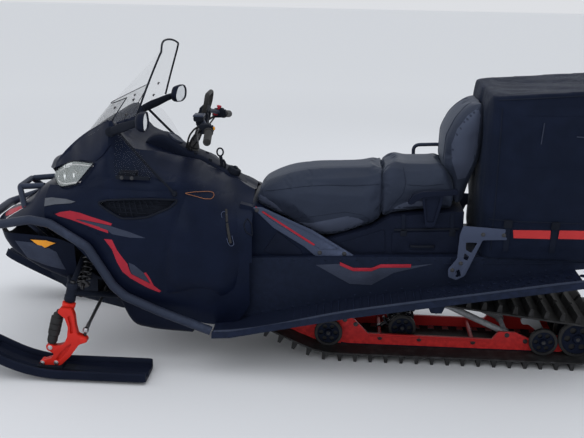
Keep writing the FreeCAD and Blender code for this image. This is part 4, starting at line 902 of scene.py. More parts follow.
def inside(x, z, outline):
    """Whether a side-view point lies within a closed outline."""
    within = False
    for (ax, az), (bx, bz) in zip(outline, outline[1:] + outline[:1]):
        if (az > z) != (bz > z) and x < ax + (bx - ax) * (z - az) / (bz - az):
            within = not within
    return within


CUT_REACH = 30.0  # a cut may run on past its line's ends by this much
MIDDLE_STRIP = 120.0  # faces nearer than this to the middle line belong to the top


def cut_open(form, outline):
    """Cuts the shell along the outline on both sides and takes the middle out."""
    for (ax, az), (bx, bz) in zip(outline, outline[1:] + outline[:1]):
        near = []
        for face in form.faces:
            place = face.calc_center_median() / MILLI
            beside = min(ax, bx) - CUT_REACH < place.x < max(ax, bx) + CUT_REACH
            level = min(az, bz) - CUT_REACH < place.z < max(az, bz) + CUT_REACH
            if beside and level and abs(place.y) > MIDDLE_STRIP:
                near.append(face)
        parts = set(near)
        for face in near:
            parts.update(face.edges)
            parts.update(face.verts)
        way = Vector((az - bz, 0, bx - ax)).normalized()
        bmesh.ops.bisect_plane(form, geom=list(parts), dist=1e-6, plane_co=mm(ax, 0, az), plane_no=way)
    gone = []
    for face in form.faces:
        place = face.calc_center_median() / MILLI
        if abs(place.y) > MIDDLE_STRIP and inside(place.x, place.z, outline):
            gone.append(face)
    bmesh.ops.delete(form, geom=gone, context="FACES")


SHELL_FRONT = 1108
stations = [SHELL_FRONT - SHELL_STEP * k for k in range(40)]
shell = skin([shell_row(x, SHELL_IN) for x in stations])
cut_open(shell, INTAKE_OPENING)
cut_open(shell, LAMP_OPENING)
piece("body_shell", thickened(shell, 4.0), gloss_black, "hood", stands=("hood", "side_panels"))
print("shell from x", stations[0], "to", stations[-1])

# %% [markdown]
# ## Panels on the surface
#
# A panel starts as a flat outline in the side view. Two narrow insets give it a rim, straight cuts
# divide it finely enough to bend, and then each point is pushed out to the body's surface. Near the
# rim it is pushed out a little less, and that gives the rolled edge of a moulded part.

# %% One panel from its outline
def reach_to_edge(point, outline):
    """Distance in millimetres from a side-view point to the outline."""
    best = 1e9
    for a, b in zip(outline, outline[1:] + outline[:1]):
        along = b - a
        t = max(0.0, min(1.0, (point - a).dot(along) / max(along.length_squared, 1e-9)))
        best = min(best, (point - a - along * t).length)
    return best


def gridded(outline, rim, cell):
    """Flat form in the side view, in millimetres, with a rim and a grid of cuts."""
    form = bmesh.new()
    form.faces.new([form.verts.new((x, 0, z)) for x, z in outline])
    for width in (rim * 0.3, rim * 0.7):
        inner = max(form.faces, key=lambda f: f.calc_area())
        bmesh.ops.inset_region(form, faces=[inner], thickness=width, use_even_offset=True)
    xs = [v.co.x for v in form.verts]
    zs = [v.co.z for v in form.verts]
    for spread, way in ((xs, (1, 0, 0)), (zs, (0, 0, 1))):
        count = max(1, int((max(spread) - min(spread)) / cell))
        for k in range(1, count):
            place = min(spread) + (max(spread) - min(spread)) * k / count
            cut = Vector(way) * place
            bmesh.ops.bisect_plane(form, geom=form.verts[:] + form.edges[:] + form.faces[:], dist=0.01,
                                   plane_co=cut, plane_no=way)
    return form


def laid(outline, place, lift, rim, roll, cell, thickness):
    """Panel from its outline: place turns x, z, a height and the distance to the edge into a point."""
    form = gridded(outline, rim, cell)
    border = [Vector(p) for p in outline]
    for vert in form.verts:
        x, y, z = vert.co
        edge = reach_to_edge(Vector((x, z)), border)
        vert.co = place(x, z, lift - roll * (1 - min(1.0, edge / rim)) ** 2, edge)
    return thickened(facing(form, 1), thickness)


def panel_form(outline, lift=0.0, rim=4.0, roll=3.0, cell=20.0, thickness=3.0, bulge=0.0, reach=45.0):
    """Panel on the left side: lift raises it, roll rounds its edge, bulge swells its middle."""
    def place(x, z, out, edge):
        swell = min(1.0, edge / reach)
        return mm(x, flank(x, z) + out + bulge * swell * swell * (3 - 2 * swell), z)

    return laid(outline, place, lift, rim, roll, cell, thickness)


def panel(name, outline, finish, node="side_panels", **shape):
    both(name, panel_form(outline, **shape), finish, node)


# %% [markdown]
# The outlines below are side views in millimetres, read from the photograph along its own rays onto
# this surface. The upper cheek overhangs the headlight; the lid above the air intake runs back to
# the seat; the service door behind swells a little over the engine.

# %% Large panels
CHEEK = [(1113, 888), (1049, 918), (978, 942), (875, 959), (838, 989), (811, 1026), (771, 1063),
         (774, 1086), (784, 1109), (794, 1134), (800, 1142), (822, 1135), (892, 1092), (935, 1065),
         (989, 1021), (1061, 953)]
UPPER_LID = [(950, 856), (868, 880), (800, 897), (726, 912), (624, 935), (584, 937), (502, 929),
             (471, 934), (437, 928), (469, 945), (516, 952), (598, 979), (649, 991), (677, 999),
             (718, 1007), (745, 1010), (772, 1025), (801, 1006), (832, 977), (868, 953)]
LID = [(1062, 824), (947, 848), (868, 874), (800, 891), (726, 906), (623, 930), (583, 932), (500, 925),
       (470, 930), (426, 923), (343, 878), (267, 844), (316, 843), (382, 847), (461, 852), (499, 850),
       (611, 849), (750, 849), (856, 850), (947, 838), (1053, 818)]
FRONT_SIDE = [(1104, 786), (1053, 814), (947, 834), (856, 845), (749, 845), (611, 844), (503, 845),
              (495, 813), (610, 819), (701, 811), (805, 802), (856, 788), (835, 767), (788, 739),
              (741, 716), (679, 720), (622, 729), (523, 772), (491, 795), (482, 806), (496, 841),
              (469, 843), (462, 825), (516, 673), (546, 559), (557, 455), (555, 376), (579, 366),
              (619, 396), (711, 442), (752, 462), (793, 573), (829, 618), (903, 656), (986, 693),
              (1062, 719), (1100, 722)]
DOOR = [(456, 838), (400, 838), (344, 835), (312, 832), (251, 832), (229, 770), (210, 510), (235, 380),
        (295, 347), (347, 386), (415, 391), (485, 366), (549, 360), (551, 455), (540, 559), (510, 673),
        (483, 753)]
CORNER = [(242, 829), (224, 823), (191, 799), (165, 748), (160, 599), (160, 512), (205, 511), (223, 770)]
panel("cheek", CHEEK, gloss_black, "hood", lift=9.0, rim=6.0, roll=5.0, thickness=8.0)
panel("upper_lid", UPPER_LID, gloss_black, "hood", lift=1.0)
panel("lid", LID, gloss_black, "hood", lift=5.0, rim=6.0, roll=4.5, bulge=3.0)
panel("front_side", FRONT_SIDE, gloss_black, lift=1.0, rim=5.0)
panel("service_door", DOOR, gloss_black, lift=2.0, rim=7.0, roll=5.0, bulge=11.0, reach=60.0)
panel("corner_panel", CORNER, gloss_black, lift=1.0)
print("panels on each side", 6)

# %% [markdown]
# ## Coloured inlays and a painted reflection
#
# The grey and the red stripes are films or trim pieces that lie on the panels. The pale patch on the
# nose's side is a painted reflection of the body's upper surfaces. All are made the same way, only
# thinner and a little higher, so that each keeps a fine shadow line of its own.

# %% Painted reflection on the nose, and stripes
# Pale patch on the nose's side: a painted reflection of the body's upper surfaces
NOSE_PAINTED_REFLECTION = [(1110, 784), (1077, 790), (1006, 790), (958, 783), (979, 775), (1056, 766), (1108, 752)]
RED_UPPER = [(1056, 720), (1032, 731), (984, 740), (937, 733), (881, 717), (788, 693), (793, 683),
             (854, 692), (920, 701), (960, 703), (935, 694), (862, 676), (810, 662), (807, 646),
             (846, 656), (916, 679), (986, 700), (1042, 712)]
GREY_UPPER = [(958, 701), (920, 699), (854, 690), (792, 680), (714, 660), (633, 635), (706, 632),
              (790, 643), (812, 660), (864, 674), (915, 689)]
RED_LOWER = [(829, 617), (791, 616), (770, 568), (748, 536), (724, 503), (718, 478), (710, 454),
             (620, 410), (631, 434), (649, 463), (638, 467), (621, 438), (605, 402), (573, 376),
             (581, 368), (633, 388), (716, 433), (750, 463), (773, 509), (793, 569)]
GREY_LOWER = [(718, 510), (693, 500), (651, 465), (634, 436), (624, 414), (706, 454), (714, 478)]
INLAYS_AND_PAINTED_REFLECTION = (
    # The first row is the painted reflection on the nose's side
    ("nose_blade", NOSE_PAINTED_REFLECTION, pale_trim_and_painted_reflection, 5.0),
    ("red_stripe_upper", RED_UPPER, red_trim, 2.2),
    ("grey_stripe_upper", GREY_UPPER, grey_trim, 2.2),
    ("red_stripe_lower", RED_LOWER, red_trim, 2.2),
    ("grey_stripe_lower", GREY_LOWER, grey_trim, 2.2),
)
for name, outline, finish, lift in INLAYS_AND_PAINTED_REFLECTION:
    panel(name, outline, finish, lift=lift, rim=1.6, roll=0.8, thickness=2.0, cell=24.0)
print("inlays", len(INLAYS_AND_PAINTED_REFLECTION))


# %% Air intake with its grille
VENT = [(852, 786), (805, 799), (701, 809), (610, 816), (493, 810), (496, 798), (526, 775), (624, 733),
        (679, 724), (740, 720), (786, 742), (832, 768)]


VENT_DEPTH = 24.0


def on_body(x, z, lift):
    return mm(x, flank(x, z) + lift, z)


def intake_form():
    """Rim round the intake, and bars across a floor that lies deeper."""
    border = rounded(VENT, 14.0)
    rim = swept([on_body(x, z, 2.0) for x, z in border], 4.5, sides=8, closed=True)
    floor = panel_form(VENT, lift=-VENT_DEPTH, rim=2.0, roll=0.0, cell=30.0, thickness=2.0)
    ring = border + border[:1]
    wall = skin([[on_body(x, z, lift) / MILLI for x, z in ring] for lift in (1.0, -VENT_DEPTH)])
    bmesh.ops.remove_doubles(wall, verts=wall.verts, dist=1e-6)
    bars = []
    for k in range(13):
        x = 520 + 25 * k
        low = max(722 + abs(x - 705) * 0.55, 724)
        line = ((x, low, -12.0), (x + 8, (low + 806) / 2, -10.0), (x + 16, 806, -12.0))
        bars.append(swept([on_body(*point) for point in line], 2.4, sides=6))
    for k in range(3):
        z = 745 + 20 * k
        reach = 60 + 45 * k
        line = [on_body(x, z, -13.0) for x in (690 - reach, 700, 706 + reach * 0.8)]
        bars.append(swept(line, 2.0, sides=6))
    return joined(rim, floor, wall, *bars)


intake = intake_form()
piece("intake", joined(mirrored(intake), intake), soft_black, "side_panels")


# %% Latch, teardrop mark and other small things on the sides
TEARDROP = [(461, 838), (419, 839), (363, 831), (343, 823), (338, 810), (348, 801), (376, 805),
            (418, 822)]
LATCH = [(302, 737), (297, 744), (286, 742), (279, 733), (237, 612), (243, 603), (256, 604), (263, 618)]
TRIANGLE = [(186, 712), (164, 690), (158, 640), (186, 656), (200, 688)]
# Creases of the moulding: lines in the side view, and how thick each shows
CREASES = (
    (((892, 891), (815, 914), (734, 934), (664, 944), (598, 942), (557, 934), (505, 927), (471, 933)),
     1.3, 2.2),
    (((463, 812), (488, 779), (512, 723), (530, 663)), 1.4, 2.0),
    (((375, 798), (410, 753), (468, 705), (499, 641), (528, 559), (542, 480)), 11.5, 2.6),
    (((903, 907), (826, 960), (728, 991), (615, 969), (547, 951)), 1.6, 1.8),
)


STRAP = [(287, 752), (279, 751), (268, 706), (277, 704)]
TONGUE = [(276, 700), (267, 702), (246, 618), (257, 616)]


def outlined(outline, corner, lift, thick):
    """Thin bead along a closed outline on the body."""
    return swept([on_body(x, z, lift) for x, z in rounded(outline, corner)], thick, sides=6, closed=True)


strap = panel_form(STRAP, lift=17.0, rim=1.0, roll=0.6, thickness=5.0)
tongue = panel_form(TONGUE, lift=19.0, rim=1.5, roll=1.0, thickness=7.0)
# Known fault: softened takes millimetres and on_body gives metres, so the creases come out a thousand
# times too small, at the origin. Dividing on_body's points by MILLI would put them on the body.
creases = [swept(softened([on_body(x, z, lift) for x, z in line], 20.0), thick, sides=6)
           for line, lift, thick in CREASES]
both("teardrop", outlined(TEARDROP, 8.0, 10.5, 1.3), copper_line, "side_panels")
both("latch_rim", outlined(LATCH, 8.0, 14.5, 1.6), grey_paint, "side_panels")
both("latch_strap", joined(strap, tongue), grip_rubber, "side_panels")
both("corner_hollow", outlined(TRIANGLE, 6.0, 4.0, 2.2), soft_black, "side_panels")
both("creases", joined(*creases), crease_trim, "side_panels")
print("sides done")

# %% [markdown]
# ## Padded parts
#
# Foam under a stretched cover is never flat: the cover pulls in at its seams and swells between
# them. We get that from a short cloth simulation. The pad starts a little too small, is remeshed into
# even squares, and air pressure blows it up for twenty frames with no gravity. A limit on how far
# each point may go keeps it in its place. The seams and the lighter patches come after, because the
# remesh would wipe them out: each is laid on the finished pad by shooting rays at it from the side.

# %% Swelling a pad
CLOTH_FRAMES = 20


def puffed(form, voxel=6.0, pressure=4.0, cap=10.0, smooth=2):
    """A pad in bmesh, blown up by cloth pressure and subdivided once; sizes in millimetres."""
    obj = as_object(form, "pad")
    settled(obj, ("REMESH", {"mode": "VOXEL", "voxel_size": voxel * MILLI}))
    start = [v.co.copy() for v in obj.data.vertices]
    cloth = obj.modifiers.new("cloth", "CLOTH")
    cloth.settings.quality = 5
    cloth.settings.use_pressure = True
    cloth.settings.uniform_pressure_force = pressure
    cloth.settings.effector_weights.gravity = 0.0
    cloth.point_cache.frame_start = 1
    cloth.point_cache.frame_end = CLOTH_FRAMES
    for frame_number in range(1, CLOTH_FRAMES + 1):
        bpy.context.scene.frame_set(frame_number)
    settled(obj)
    for vert, before in zip(obj.data.vertices, start):
        move = vert.co - before
        if move.length > cap * MILLI:
            vert.co = before + move.normalized() * cap * MILLI
    bpy.context.scene.frame_set(1)
    softer = ("SMOOTH", {"factor": 0.5, "iterations": smooth})
    return as_form(settled(obj, softer, ("SUBSURF", {"levels": 1})))


def closed_skin(rows):
    """Closed body through rings of points in millimetres."""
    form = bridged([[mm(*p) for p in row] for row in rows])
    bmesh.ops.recalc_face_normals(form, faces=form.faces)
    return form


def whole_ring(half, shared=0):
    """A ring from its left half, whose last point and first shared ones lie on the middle line."""
    return half + [(x, -y, z) for x, y, z in reversed(half[shared:-1])]


# %% Finding the surface with rays
WELT_RADIUS = 1.6
WELT_LIFT = 0.4
WELT_STEP = 16.0


def struck(tree, start, way, near):
    """Where a ray meets the surface, or else the point of it nearest to near, and the normal there."""
    hit, normal, face, distance = tree.ray_cast(start, Vector(way))
    if hit is None:
        hit, normal, face, distance = tree.find_nearest(near)
    return hit, normal


def from_left(tree, x, z):
    return struck(tree, mm(x, 900, z), (0, -1, 0), mm(x, 200, z))


def from_front(tree, y, z):
    return struck(tree, mm(-300, y, z), (-1, 0, 0), mm(-700, y, z))


def draped(outline, tree, lift=1.2, rim=2.0, roll=1.0, cell=14.0, thickness=2.0):
    """Panel laid on any surface from the machine's left side."""
    def place(x, z, out, _edge):
        hit, normal = from_left(tree, x, z)
        return hit + normal * out * MILLI

    return laid(outline, place, lift, rim, roll, cell, thickness)


def raised(found, lift):
    hit, normal = found
    return hit + normal * lift * MILLI


def welt(points, tree, radius=WELT_RADIUS, lift=WELT_LIFT, closed=False):
    """Piping along a side-view line on a surface."""
    path = []
    for (x0, z0), (x1, z1) in zip(points, points[1:] + (points[:1] if closed else [])):
        count = max(1, int(math.hypot(x1 - x0, z1 - z0) / WELT_STEP))
        for k in range(count):
            share = k / count
            path.append(raised(from_left(tree, x0 + (x1 - x0) * share, z0 + (z1 - z0) * share), lift))
    if not closed:
        path.append(raised(from_left(tree, *points[-1]), lift))
    return swept(path, radius, sides=6, closed=closed)


# %% [markdown]
# The two seats are lofts across the machine: at each station we know the top line and the seam line
# below, and the same rounded section is stretched between them.

# %% Seats
SEAT_SECTION = (  # share of the half width, share of the height
    (0.88, 0.0), (0.97, 0.05), (1.0, 0.30), (0.985, 0.55), (0.93, 0.76), (0.80, 0.92),
    (0.58, 0.985), (0.30, 1.0), (0.0, 1.0),
)
PAD_INSET = 4.0  # the pad starts this much too small, and swells
UNDER_LINE = ((-752, 757), (-745, 757), (-470, 724), (-383, 668), (-164, 598), (32, 690), (168, 752))
under_line = smooth_curve(UNDER_LINE)
rider_line = smooth_curve((
    (-432, 952), (-400, 934), (-344, 920), (-240, 913), (-137, 907), (-40, 893),
    (52, 866), (110, 838), (150, 812), (166, 786),
))
rider_half = smooth_curve(((-430, 196), (-380, 202), (-100, 202), (40, 190), (120, 166), (166, 140)))
passenger_line = smooth_curve((
    (-752, 850), (-742, 884), (-700, 958), (-640, 950), (-540, 948), (-480, 956), (-440, 950), (-428, 938),
))


def seat_form(rear, step, top, half):
    rows = []
    for k in range(21):
        x = rear + step * k
        low = under_line(x) + PAD_INSET
        high = top(x) - PAD_INSET
        wide = half(x) - PAD_INSET
        left_half = [(x, wide * across, low + (high - low) * up) for across, up in SEAT_SECTION]
        rows.append(whole_ring(left_half))
    return closed_skin(rows)


def pad(node, form):
    """The finished pad in place of its solid, and what rays need to find its surface."""
    swollen = puffed(form)
    tree = BVHTree.FromBMesh(swollen)
    made = piece(node + "_pad", swollen, seat_dark, node, stands=True, smooth=60)
    print(node, "faces", len(made.data.polygons))
    return tree


rider_tree = pad("rider_seat", seat_form(-424, 29.3, rider_line, rider_half))
passenger_tree = pad("passenger_seat", seat_form(-746, 15.7, passenger_line, lambda x: 201.0))

# %% Patches and seams of the seats
FRONT_PATCH = [(158, 792), (110, 778), (62, 748), (30, 716), (0, 690), (30, 692), (90, 720), (150, 748)]
SIDE_PATCH = [(-8, 672), (-90, 672), (-180, 694), (-270, 716), (-320, 706), (-346, 690), (-348, 652),
              (-300, 638), (-172, 608), (-90, 636)]
LOWER_SIDE = [(-10, 684), (-60, 700), (-130, 712), (-260, 736), (-340, 724), (-372, 700), (-366, 668),
              (-346, 656)]
TOP_SEAM = [(150, 800), (96, 812), (30, 826), (-60, 842), (-170, 850), (-300, 852), (-426, 866)]
HIP_PATCH = [(-428, 706), (-470, 742), (-500, 768), (-540, 788), (-590, 792), (-640, 800),
             (-660, 770), (-560, 742), (-480, 730)]
ROLL_SEAM = [(-520, 936), (-532, 880), (-520, 830), (-488, 784), (-462, 748)]
REAR_SEAM = [(-540, 870), (-620, 868), (-700, 880)]
both("front_patch", draped(FRONT_PATCH, rider_tree), seat_patch, "rider_seat")
both("side_patch", draped(SIDE_PATCH, rider_tree), seat_patch, "rider_seat")
both("hip_patch", draped(HIP_PATCH, passenger_tree), seat_patch, "passenger_seat")
rider_seams = joined(welt(TOP_SEAM, rider_tree), welt(LOWER_SIDE, rider_tree, 1.2))
passenger_seams = joined(welt(ROLL_SEAM, passenger_tree), welt(REAR_SEAM, passenger_tree))
both("seat_seam", rider_seams, seat_side, "rider_seat")
both("passenger_seam", passenger_seams, seat_side, "passenger_seat")

# %% [markdown]
# The backrest is lofted upwards instead. Its middle stands furthest forward and its flanks lie back,
# so that it holds the passenger from both sides.

# %% Backrest
# Rows: height, front x, rear x, half width, how far the flank lies back
BACKREST_ROWS = ((762, -756, -798, 130, 4), (800, -750, -804, 136, 6), (872, -740, -822, 150, 10),
                 (968, -704, -848, 188, 18), (1075, -705, -864, 198, 30), (1150, -733, -867, 196, 32),
                 (1202, -774, -868, 184, 26), (1236, -818, -868, 164, 16), (1250, -846, -866, 150, 6))
BACKREST_SECTION = ((0.0, 0.0), (0.35, 0.03), (0.62, 0.12), (0.80, 0.34), (0.92, 0.62), (1.0, 0.95))


def columns_of(rows):
    """One smooth curve for each figure of the rows, along their first figure."""
    return [smooth_curve([(row[0], row[k]) for row in rows]) for k in range(1, len(rows[0]))]


def backrest_form():
    columns = columns_of(BACKREST_ROWS)
    rows = []
    for k in range(26):
        z = 764 + (1248 - 764) * k / 25
        front, rear, half, back = (column(z) for column in columns)
        front -= PAD_INSET
        half -= PAD_INSET
        ring = [(front - back * share - 4.0 * (across > 0.9), half * across, z)
                for across, share in BACKREST_SECTION]
        ring += [((front + rear) / 2 - back * 0.6, half + 1.0, z), (rear + 14, half * 0.97, z),
                 (rear + 4, half * 0.86, z), (rear + 2, 0.0, z)]
        rows.append(whole_ring(ring, 1))
    return closed_skin(rows)


backrest_tree = pad("backrest", backrest_form())


def front_welt(points):
    """Piping on the backrest's face, along a line of (y, z) points."""
    path = []
    for (y0, z0), (y1, z1) in zip(points, points[1:]):
        for k in range(8):
            found = from_front(backrest_tree, y0 + (y1 - y0) * k / 8, z0 + (z1 - z0) * k / 8)
            path.append(raised(found, WELT_LIFT))
    return swept(path, WELT_RADIUS, sides=6)


BOLSTER_SEAM = [(92, 880), (118, 960), (128, 1060), (124, 1140), (104, 1200), (70, 1240)]
CROSS_SEAM = [(-120, 985), (-60, 978), (0, 976), (60, 978), (120, 985)]
bolster = front_welt(BOLSTER_SEAM)
piece("backrest_seams", joined(mirrored(bolster), bolster, front_welt(CROSS_SEAM)), seat_side, "backrest")
SIDE_BOLSTER = [(-734, 985), (-728, 1060), (-748, 1130), (-790, 1190), (-836, 1226), (-852, 1190),
                (-854, 1100), (-838, 1000), (-806, 900), (-770, 890)]
both("bolster_patch", draped(SIDE_BOLSTER, backrest_tree, lift=1.4), seat_patch, "backrest")
print("backrest seams done")
# %% [markdown]
# ## The cargo bag
#
# An empty fabric bag keeps the shape of its stiffened corners, and between them its walls sag and
# fold. So it is a lofted shell, not a box: rounded rectangles up the height, each wall pulled in or
# out by long folds that run down from the corners, and a top that dips between its edges.

# %% Bag shell
# Rows: height, front x, rear x, half width
BAG_ROWS = (
    (556, -878, -1484, 290), (640, -876, -1487, 294), (725, -876, -1488, 296), (770, -874, -1489, 314),
    (850, -873, -1490, 321), (1000, -873, -1490, 322), (1150, -873, -1490, 320), (1260, -874, -1490, 314),
    (1300, -876, -1490, 306),
)
BAG_FACE = -873
BAG_REAR = -1490
BAG_RISE = 50  # how much higher the top is at the rear
TOP_SLOPE = 120  # width of the band in which the top falls to its edges
BAG_CORNER = 46.0
BAG_AROUND = 96
BAG_UP = 60


def bag_ring(z, front, rear, half):
    """Rounded rectangle as evenly spread points."""
    corners = [(front, half), (rear, half), (rear, -half), (front, -half)]
    loop = []
    for k, (cx, cy) in enumerate(corners):
        sx = -1 if cx == front else 1
        sy = -1 if cy > 0 else 1
        centre = (cx + sx * BAG_CORNER, cy + sy * BAG_CORNER)
        start = (0.0, 90.0, 180.0, 270.0)[k]
        for step in range(7):
            angle = math.radians(start + 15.0 * step)
            loop.append((centre[0] + BAG_CORNER * math.cos(angle), centre[1] + BAG_CORNER * math.sin(angle)))
    lengths = [0.0]
    for a, b in zip(loop, loop[1:] + loop[:1]):
        lengths.append(lengths[-1] + math.dist(a, b))
    points = []
    spot = 0
    for k in range(BAG_AROUND):
        want = lengths[-1] * k / BAG_AROUND
        while lengths[spot + 1] < want:
            spot += 1
        a = loop[spot]
        b = loop[(spot + 1) % len(loop)]
        share = (want - lengths[spot]) / (lengths[spot + 1] - lengths[spot])
        points.append((a[0] + (b[0] - a[0]) * share, a[1] + (b[1] - a[1]) * share, z))
    return points


def sagged(x, y, z, front, rear, half):
    """Moves a wall point in or out: long diagonal folds, stronger in the middle of a wall."""
    along = (x - rear) / (front - rear)
    across = (y + half) / (2 * half)
    side = abs(y) > half - BAG_CORNER
    share = along if side else across
    middle = math.sin(math.pi * min(max(share, 0.0), 1.0))
    level = min(1.0, max(0.0, (z - 600) / 300)) * min(1.0, max(0.0, (1310 - z) / 90))
    own = (3.0 if side else 9.0) + math.copysign(1.0, y)  # so that no two walls fold alike
    fold = fractal(Vector((share * 2.2 + own, z * 0.0022, 0.3)), 1.0, 2.0, 3)
    crease = abs(noise(Vector((share * 3.0 + z * 0.0026, z * 0.0009, 5.0 + math.copysign(2.0, y)))))
    inward = (10.0 * fold - 16.0 * crease * middle - 4.0 * middle) * (0.35 + 0.65 * level)
    if side:
        return x, y + math.copysign(min(inward, 3.0), y), z
    return x + math.copysign(min(inward, 3.0), 1.0 if along > 0.5 else -1.0), y, z


def rearward(x):
    """0 at the bag's front face, 1 at its rear face."""
    return (x - BAG_FACE) / (BAG_REAR - BAG_FACE)


def bag_top(x, y):
    """Height of the top: it rises to the rear, dips in the middle and is creased."""
    along = rearward(x)
    from_rear = (x - BAG_REAR) / TOP_SLOPE if x < -1300 else 1.0
    from_face = (BAG_FACE - x) / TOP_SLOPE if x > -1000 else 1.0
    edge = max(0.0, min(1.0, (322 - abs(y)) / TOP_SLOPE, from_rear, from_face))
    dip = edge * edge * (3 - 2 * edge)
    wrinkle = fractal(Vector((x * 0.006, y * 0.004, 1.7)), 1.0, 2.0, 4)
    fold = abs(noise(Vector((x * 0.004 + y * 0.010, y * 0.003, 4.2))))
    return 1306 + BAG_RISE * along - dip * 13 + wrinkle * 8 * dip - fold * 15 * dip


BAG_MIDDLE = (BAG_FACE + BAG_REAR) / 2


def bag_form():
    columns = columns_of(BAG_ROWS)
    rows = []
    for k in range(BAG_UP + 1):
        z = 556 + (1300 - 556) * k / BAG_UP
        front, rear, half = (column(z) for column in columns)
        ring = [sagged(x, y, zz, front, rear, half) for x, y, zz in bag_ring(z, front, rear, half)]
        lifted = max(0.0, (z - 1150) / 150)
        rows.append([(x, y, zz + lifted * BAG_RISE * rearward(x)) for x, y, zz in ring])
    rim = rows[-1]
    for share in (0.985, 0.955, 0.90, 0.82, 0.70, 0.55, 0.38, 0.20):
        ring = []
        for x, y, z in rim:
            nx = BAG_MIDDLE + (x - BAG_MIDDLE) * share
            ny = y * share
            ring.append((nx, ny, bag_top(nx, ny)))
        rows.append(ring)
    return closed_skin(rows)


bag = puffed(bag_form(), voxel=11.0, pressure=1.5, cap=5.0, smooth=1)
bag_tree = BVHTree.FromBMesh(bag)
bag_piece = piece("cargo_bag_shell", bag, bag_cloth, "cargo_bag", stands=True, smooth=70)
print("bag faces", len(bag_piece.data.polygons))

# %% Pocket, zips, strips and straps of the bag
POCKET = [(-1010, 1010), (-1012, 1210), (-1030, 1222), (-1420, 1228), (-1436, 1212), (-1434, 1012),
          (-1416, 996), (-1030, 994)]
POCKET_FLAP = [(-1000, 1226), (-1002, 1262), (-1440, 1272), (-1442, 1230)]
CORNER_SEAM = [(-922, 600), (-920, 760), (-918, 1000), (-918, 1250)]
LOWER_SEAM = [(-900, 752), (-1100, 750), (-1300, 750), (-1460, 750)]
UPPER_SEAM = [(-900, 1284), (-1100, 1300), (-1300, 1316), (-1460, 1328)]
STRIPS = ([(-1010, 706), (-1016, 668), (-1176, 670), (-1176, 710)],
          [(-1214, 712), (-1212, 672), (-1440, 674), (-1440, 714)])
ZIPS = ([(-1096, 1196), (-1090, 1104)], [(-1238, 1140), (-1400, 1136)])
both("bag_pocket", draped(POCKET, bag_tree, lift=5.0, rim=6.0, roll=5.0, cell=24.0), bag_cloth, "cargo_bag")
flap = draped(POCKET_FLAP, bag_tree, lift=4.0, rim=4.0, roll=3.0, cell=24.0)
both("bag_flap", flap, bag_cloth, "cargo_bag")
SEAMS = ((CORNER_SEAM, 3.0), (LOWER_SEAM, 3.2), (UPPER_SEAM, 3.2))
seams = [welt(seam, bag_tree, radius) for seam, radius in SEAMS]
both("bag_piping", joined(*seams), strap_web, "cargo_bag")
strips = [draped(outline, bag_tree, lift=2.5, cell=24.0) for outline in STRIPS]
both("bag_strips", joined(*strips), strip_red, "cargo_bag")
both("bag_zips", joined(*[welt(line, bag_tree, 2.6, 7.0) for line in ZIPS]), grey_trim, "cargo_bag")
straps = []
buckles = []
for x in (-986.0, -1192.0, -1446.0):
    strap = [(x + 12, 744), (x + 12, 604), (x - 12, 604), (x - 12, 744)]
    buckle = rounded([(x + 18, 756), (x + 18, 716), (x - 18, 716), (x - 18, 756)], 7.0)
    straps.append(draped(strap, bag_tree, lift=5.0, thickness=2.5))
    buckles.append(draped(buckle, bag_tree, lift=11.0, rim=3.0, roll=3.0, thickness=7.0, cell=12.0))
both("bag_straps", joined(*straps), strap_web, "cargo_bag")
both("bag_buckles", joined(*buckles), soft_black, "cargo_bag")
print("bag done")
# %% [markdown]
# ## Nose, brow and headlights
#
# Where a part is measured as a few rows of points, a Catmull-Rom curve passes smoothly through them,
# first along each row and then from row to row. Solid parts get their thickness afterwards.

# %% Surfaces through measured rows
def curve_through(points, steps=6):
    """Catmull-Rom curve through the points, in millimetres."""
    points = [Vector(p) for p in points]
    ends = [points[0] * 2 - points[1]] + points + [points[-1] * 2 - points[-2]]
    path = []
    for a, b, c, d in zip(ends, ends[1:], ends[2:], ends[3:]):
        for k in range(steps):
            t = k / steps
            path.append(0.5 * (b * 2 + (c - a) * t + (a * 2 - b * 5 + c * 4 - d) * t ** 2
                               + (b * 3 - a - c * 3 + d) * t ** 3))
    return path + [points[-1]]


def smooth_rows(rows, across=6, along=6):
    fine = [curve_through(row, across) for row in rows]
    return [list(row) for row in zip(*[curve_through(column, along) for column in zip(*fine)])]


def sheet_form(rows, thickness=4.0, offset=-1.0, across=6, along=6):
    """Curved sheet through the rows, with its thickness on the side away from the normal."""
    return thickened(facing(skin(smooth_rows(rows, across, along)), 2), thickness, offset)


def whole_row(half):
    """A row from the machine's right edge over its middle to its left edge."""
    return [(x, -y, z) for x, y, z in reversed(half) if y > 0] + list(half)


def way_of(points_mm):
    return [mm(*p) for p in points_mm]


# Nose deck, rows from the tip back, left half from the middle out
NOSE_ROWS = (
    ((1427, 0, 617), (1425, 70, 611), (1423, 92, 596)),
    ((1340, 0, 678), (1340, 130, 664), (1338, 228, 632)),
    ((1240, 0, 741), (1240, 150, 726), (1240, 270, 668)),
    ((1165, 0, 800), (1165, 170, 792), (1165, 298, 678)),
    ((1060, 0, 806), (1060, 250, 800), (1060, 328, 667)),
)
deck = sheet_form([whole_row(row) for row in NOSE_ROWS], 5.0)
deck_tree = BVHTree.FromBMesh(deck)
piece("nose_deck_shell", deck, gloss_black, "nose_deck", stands=True)
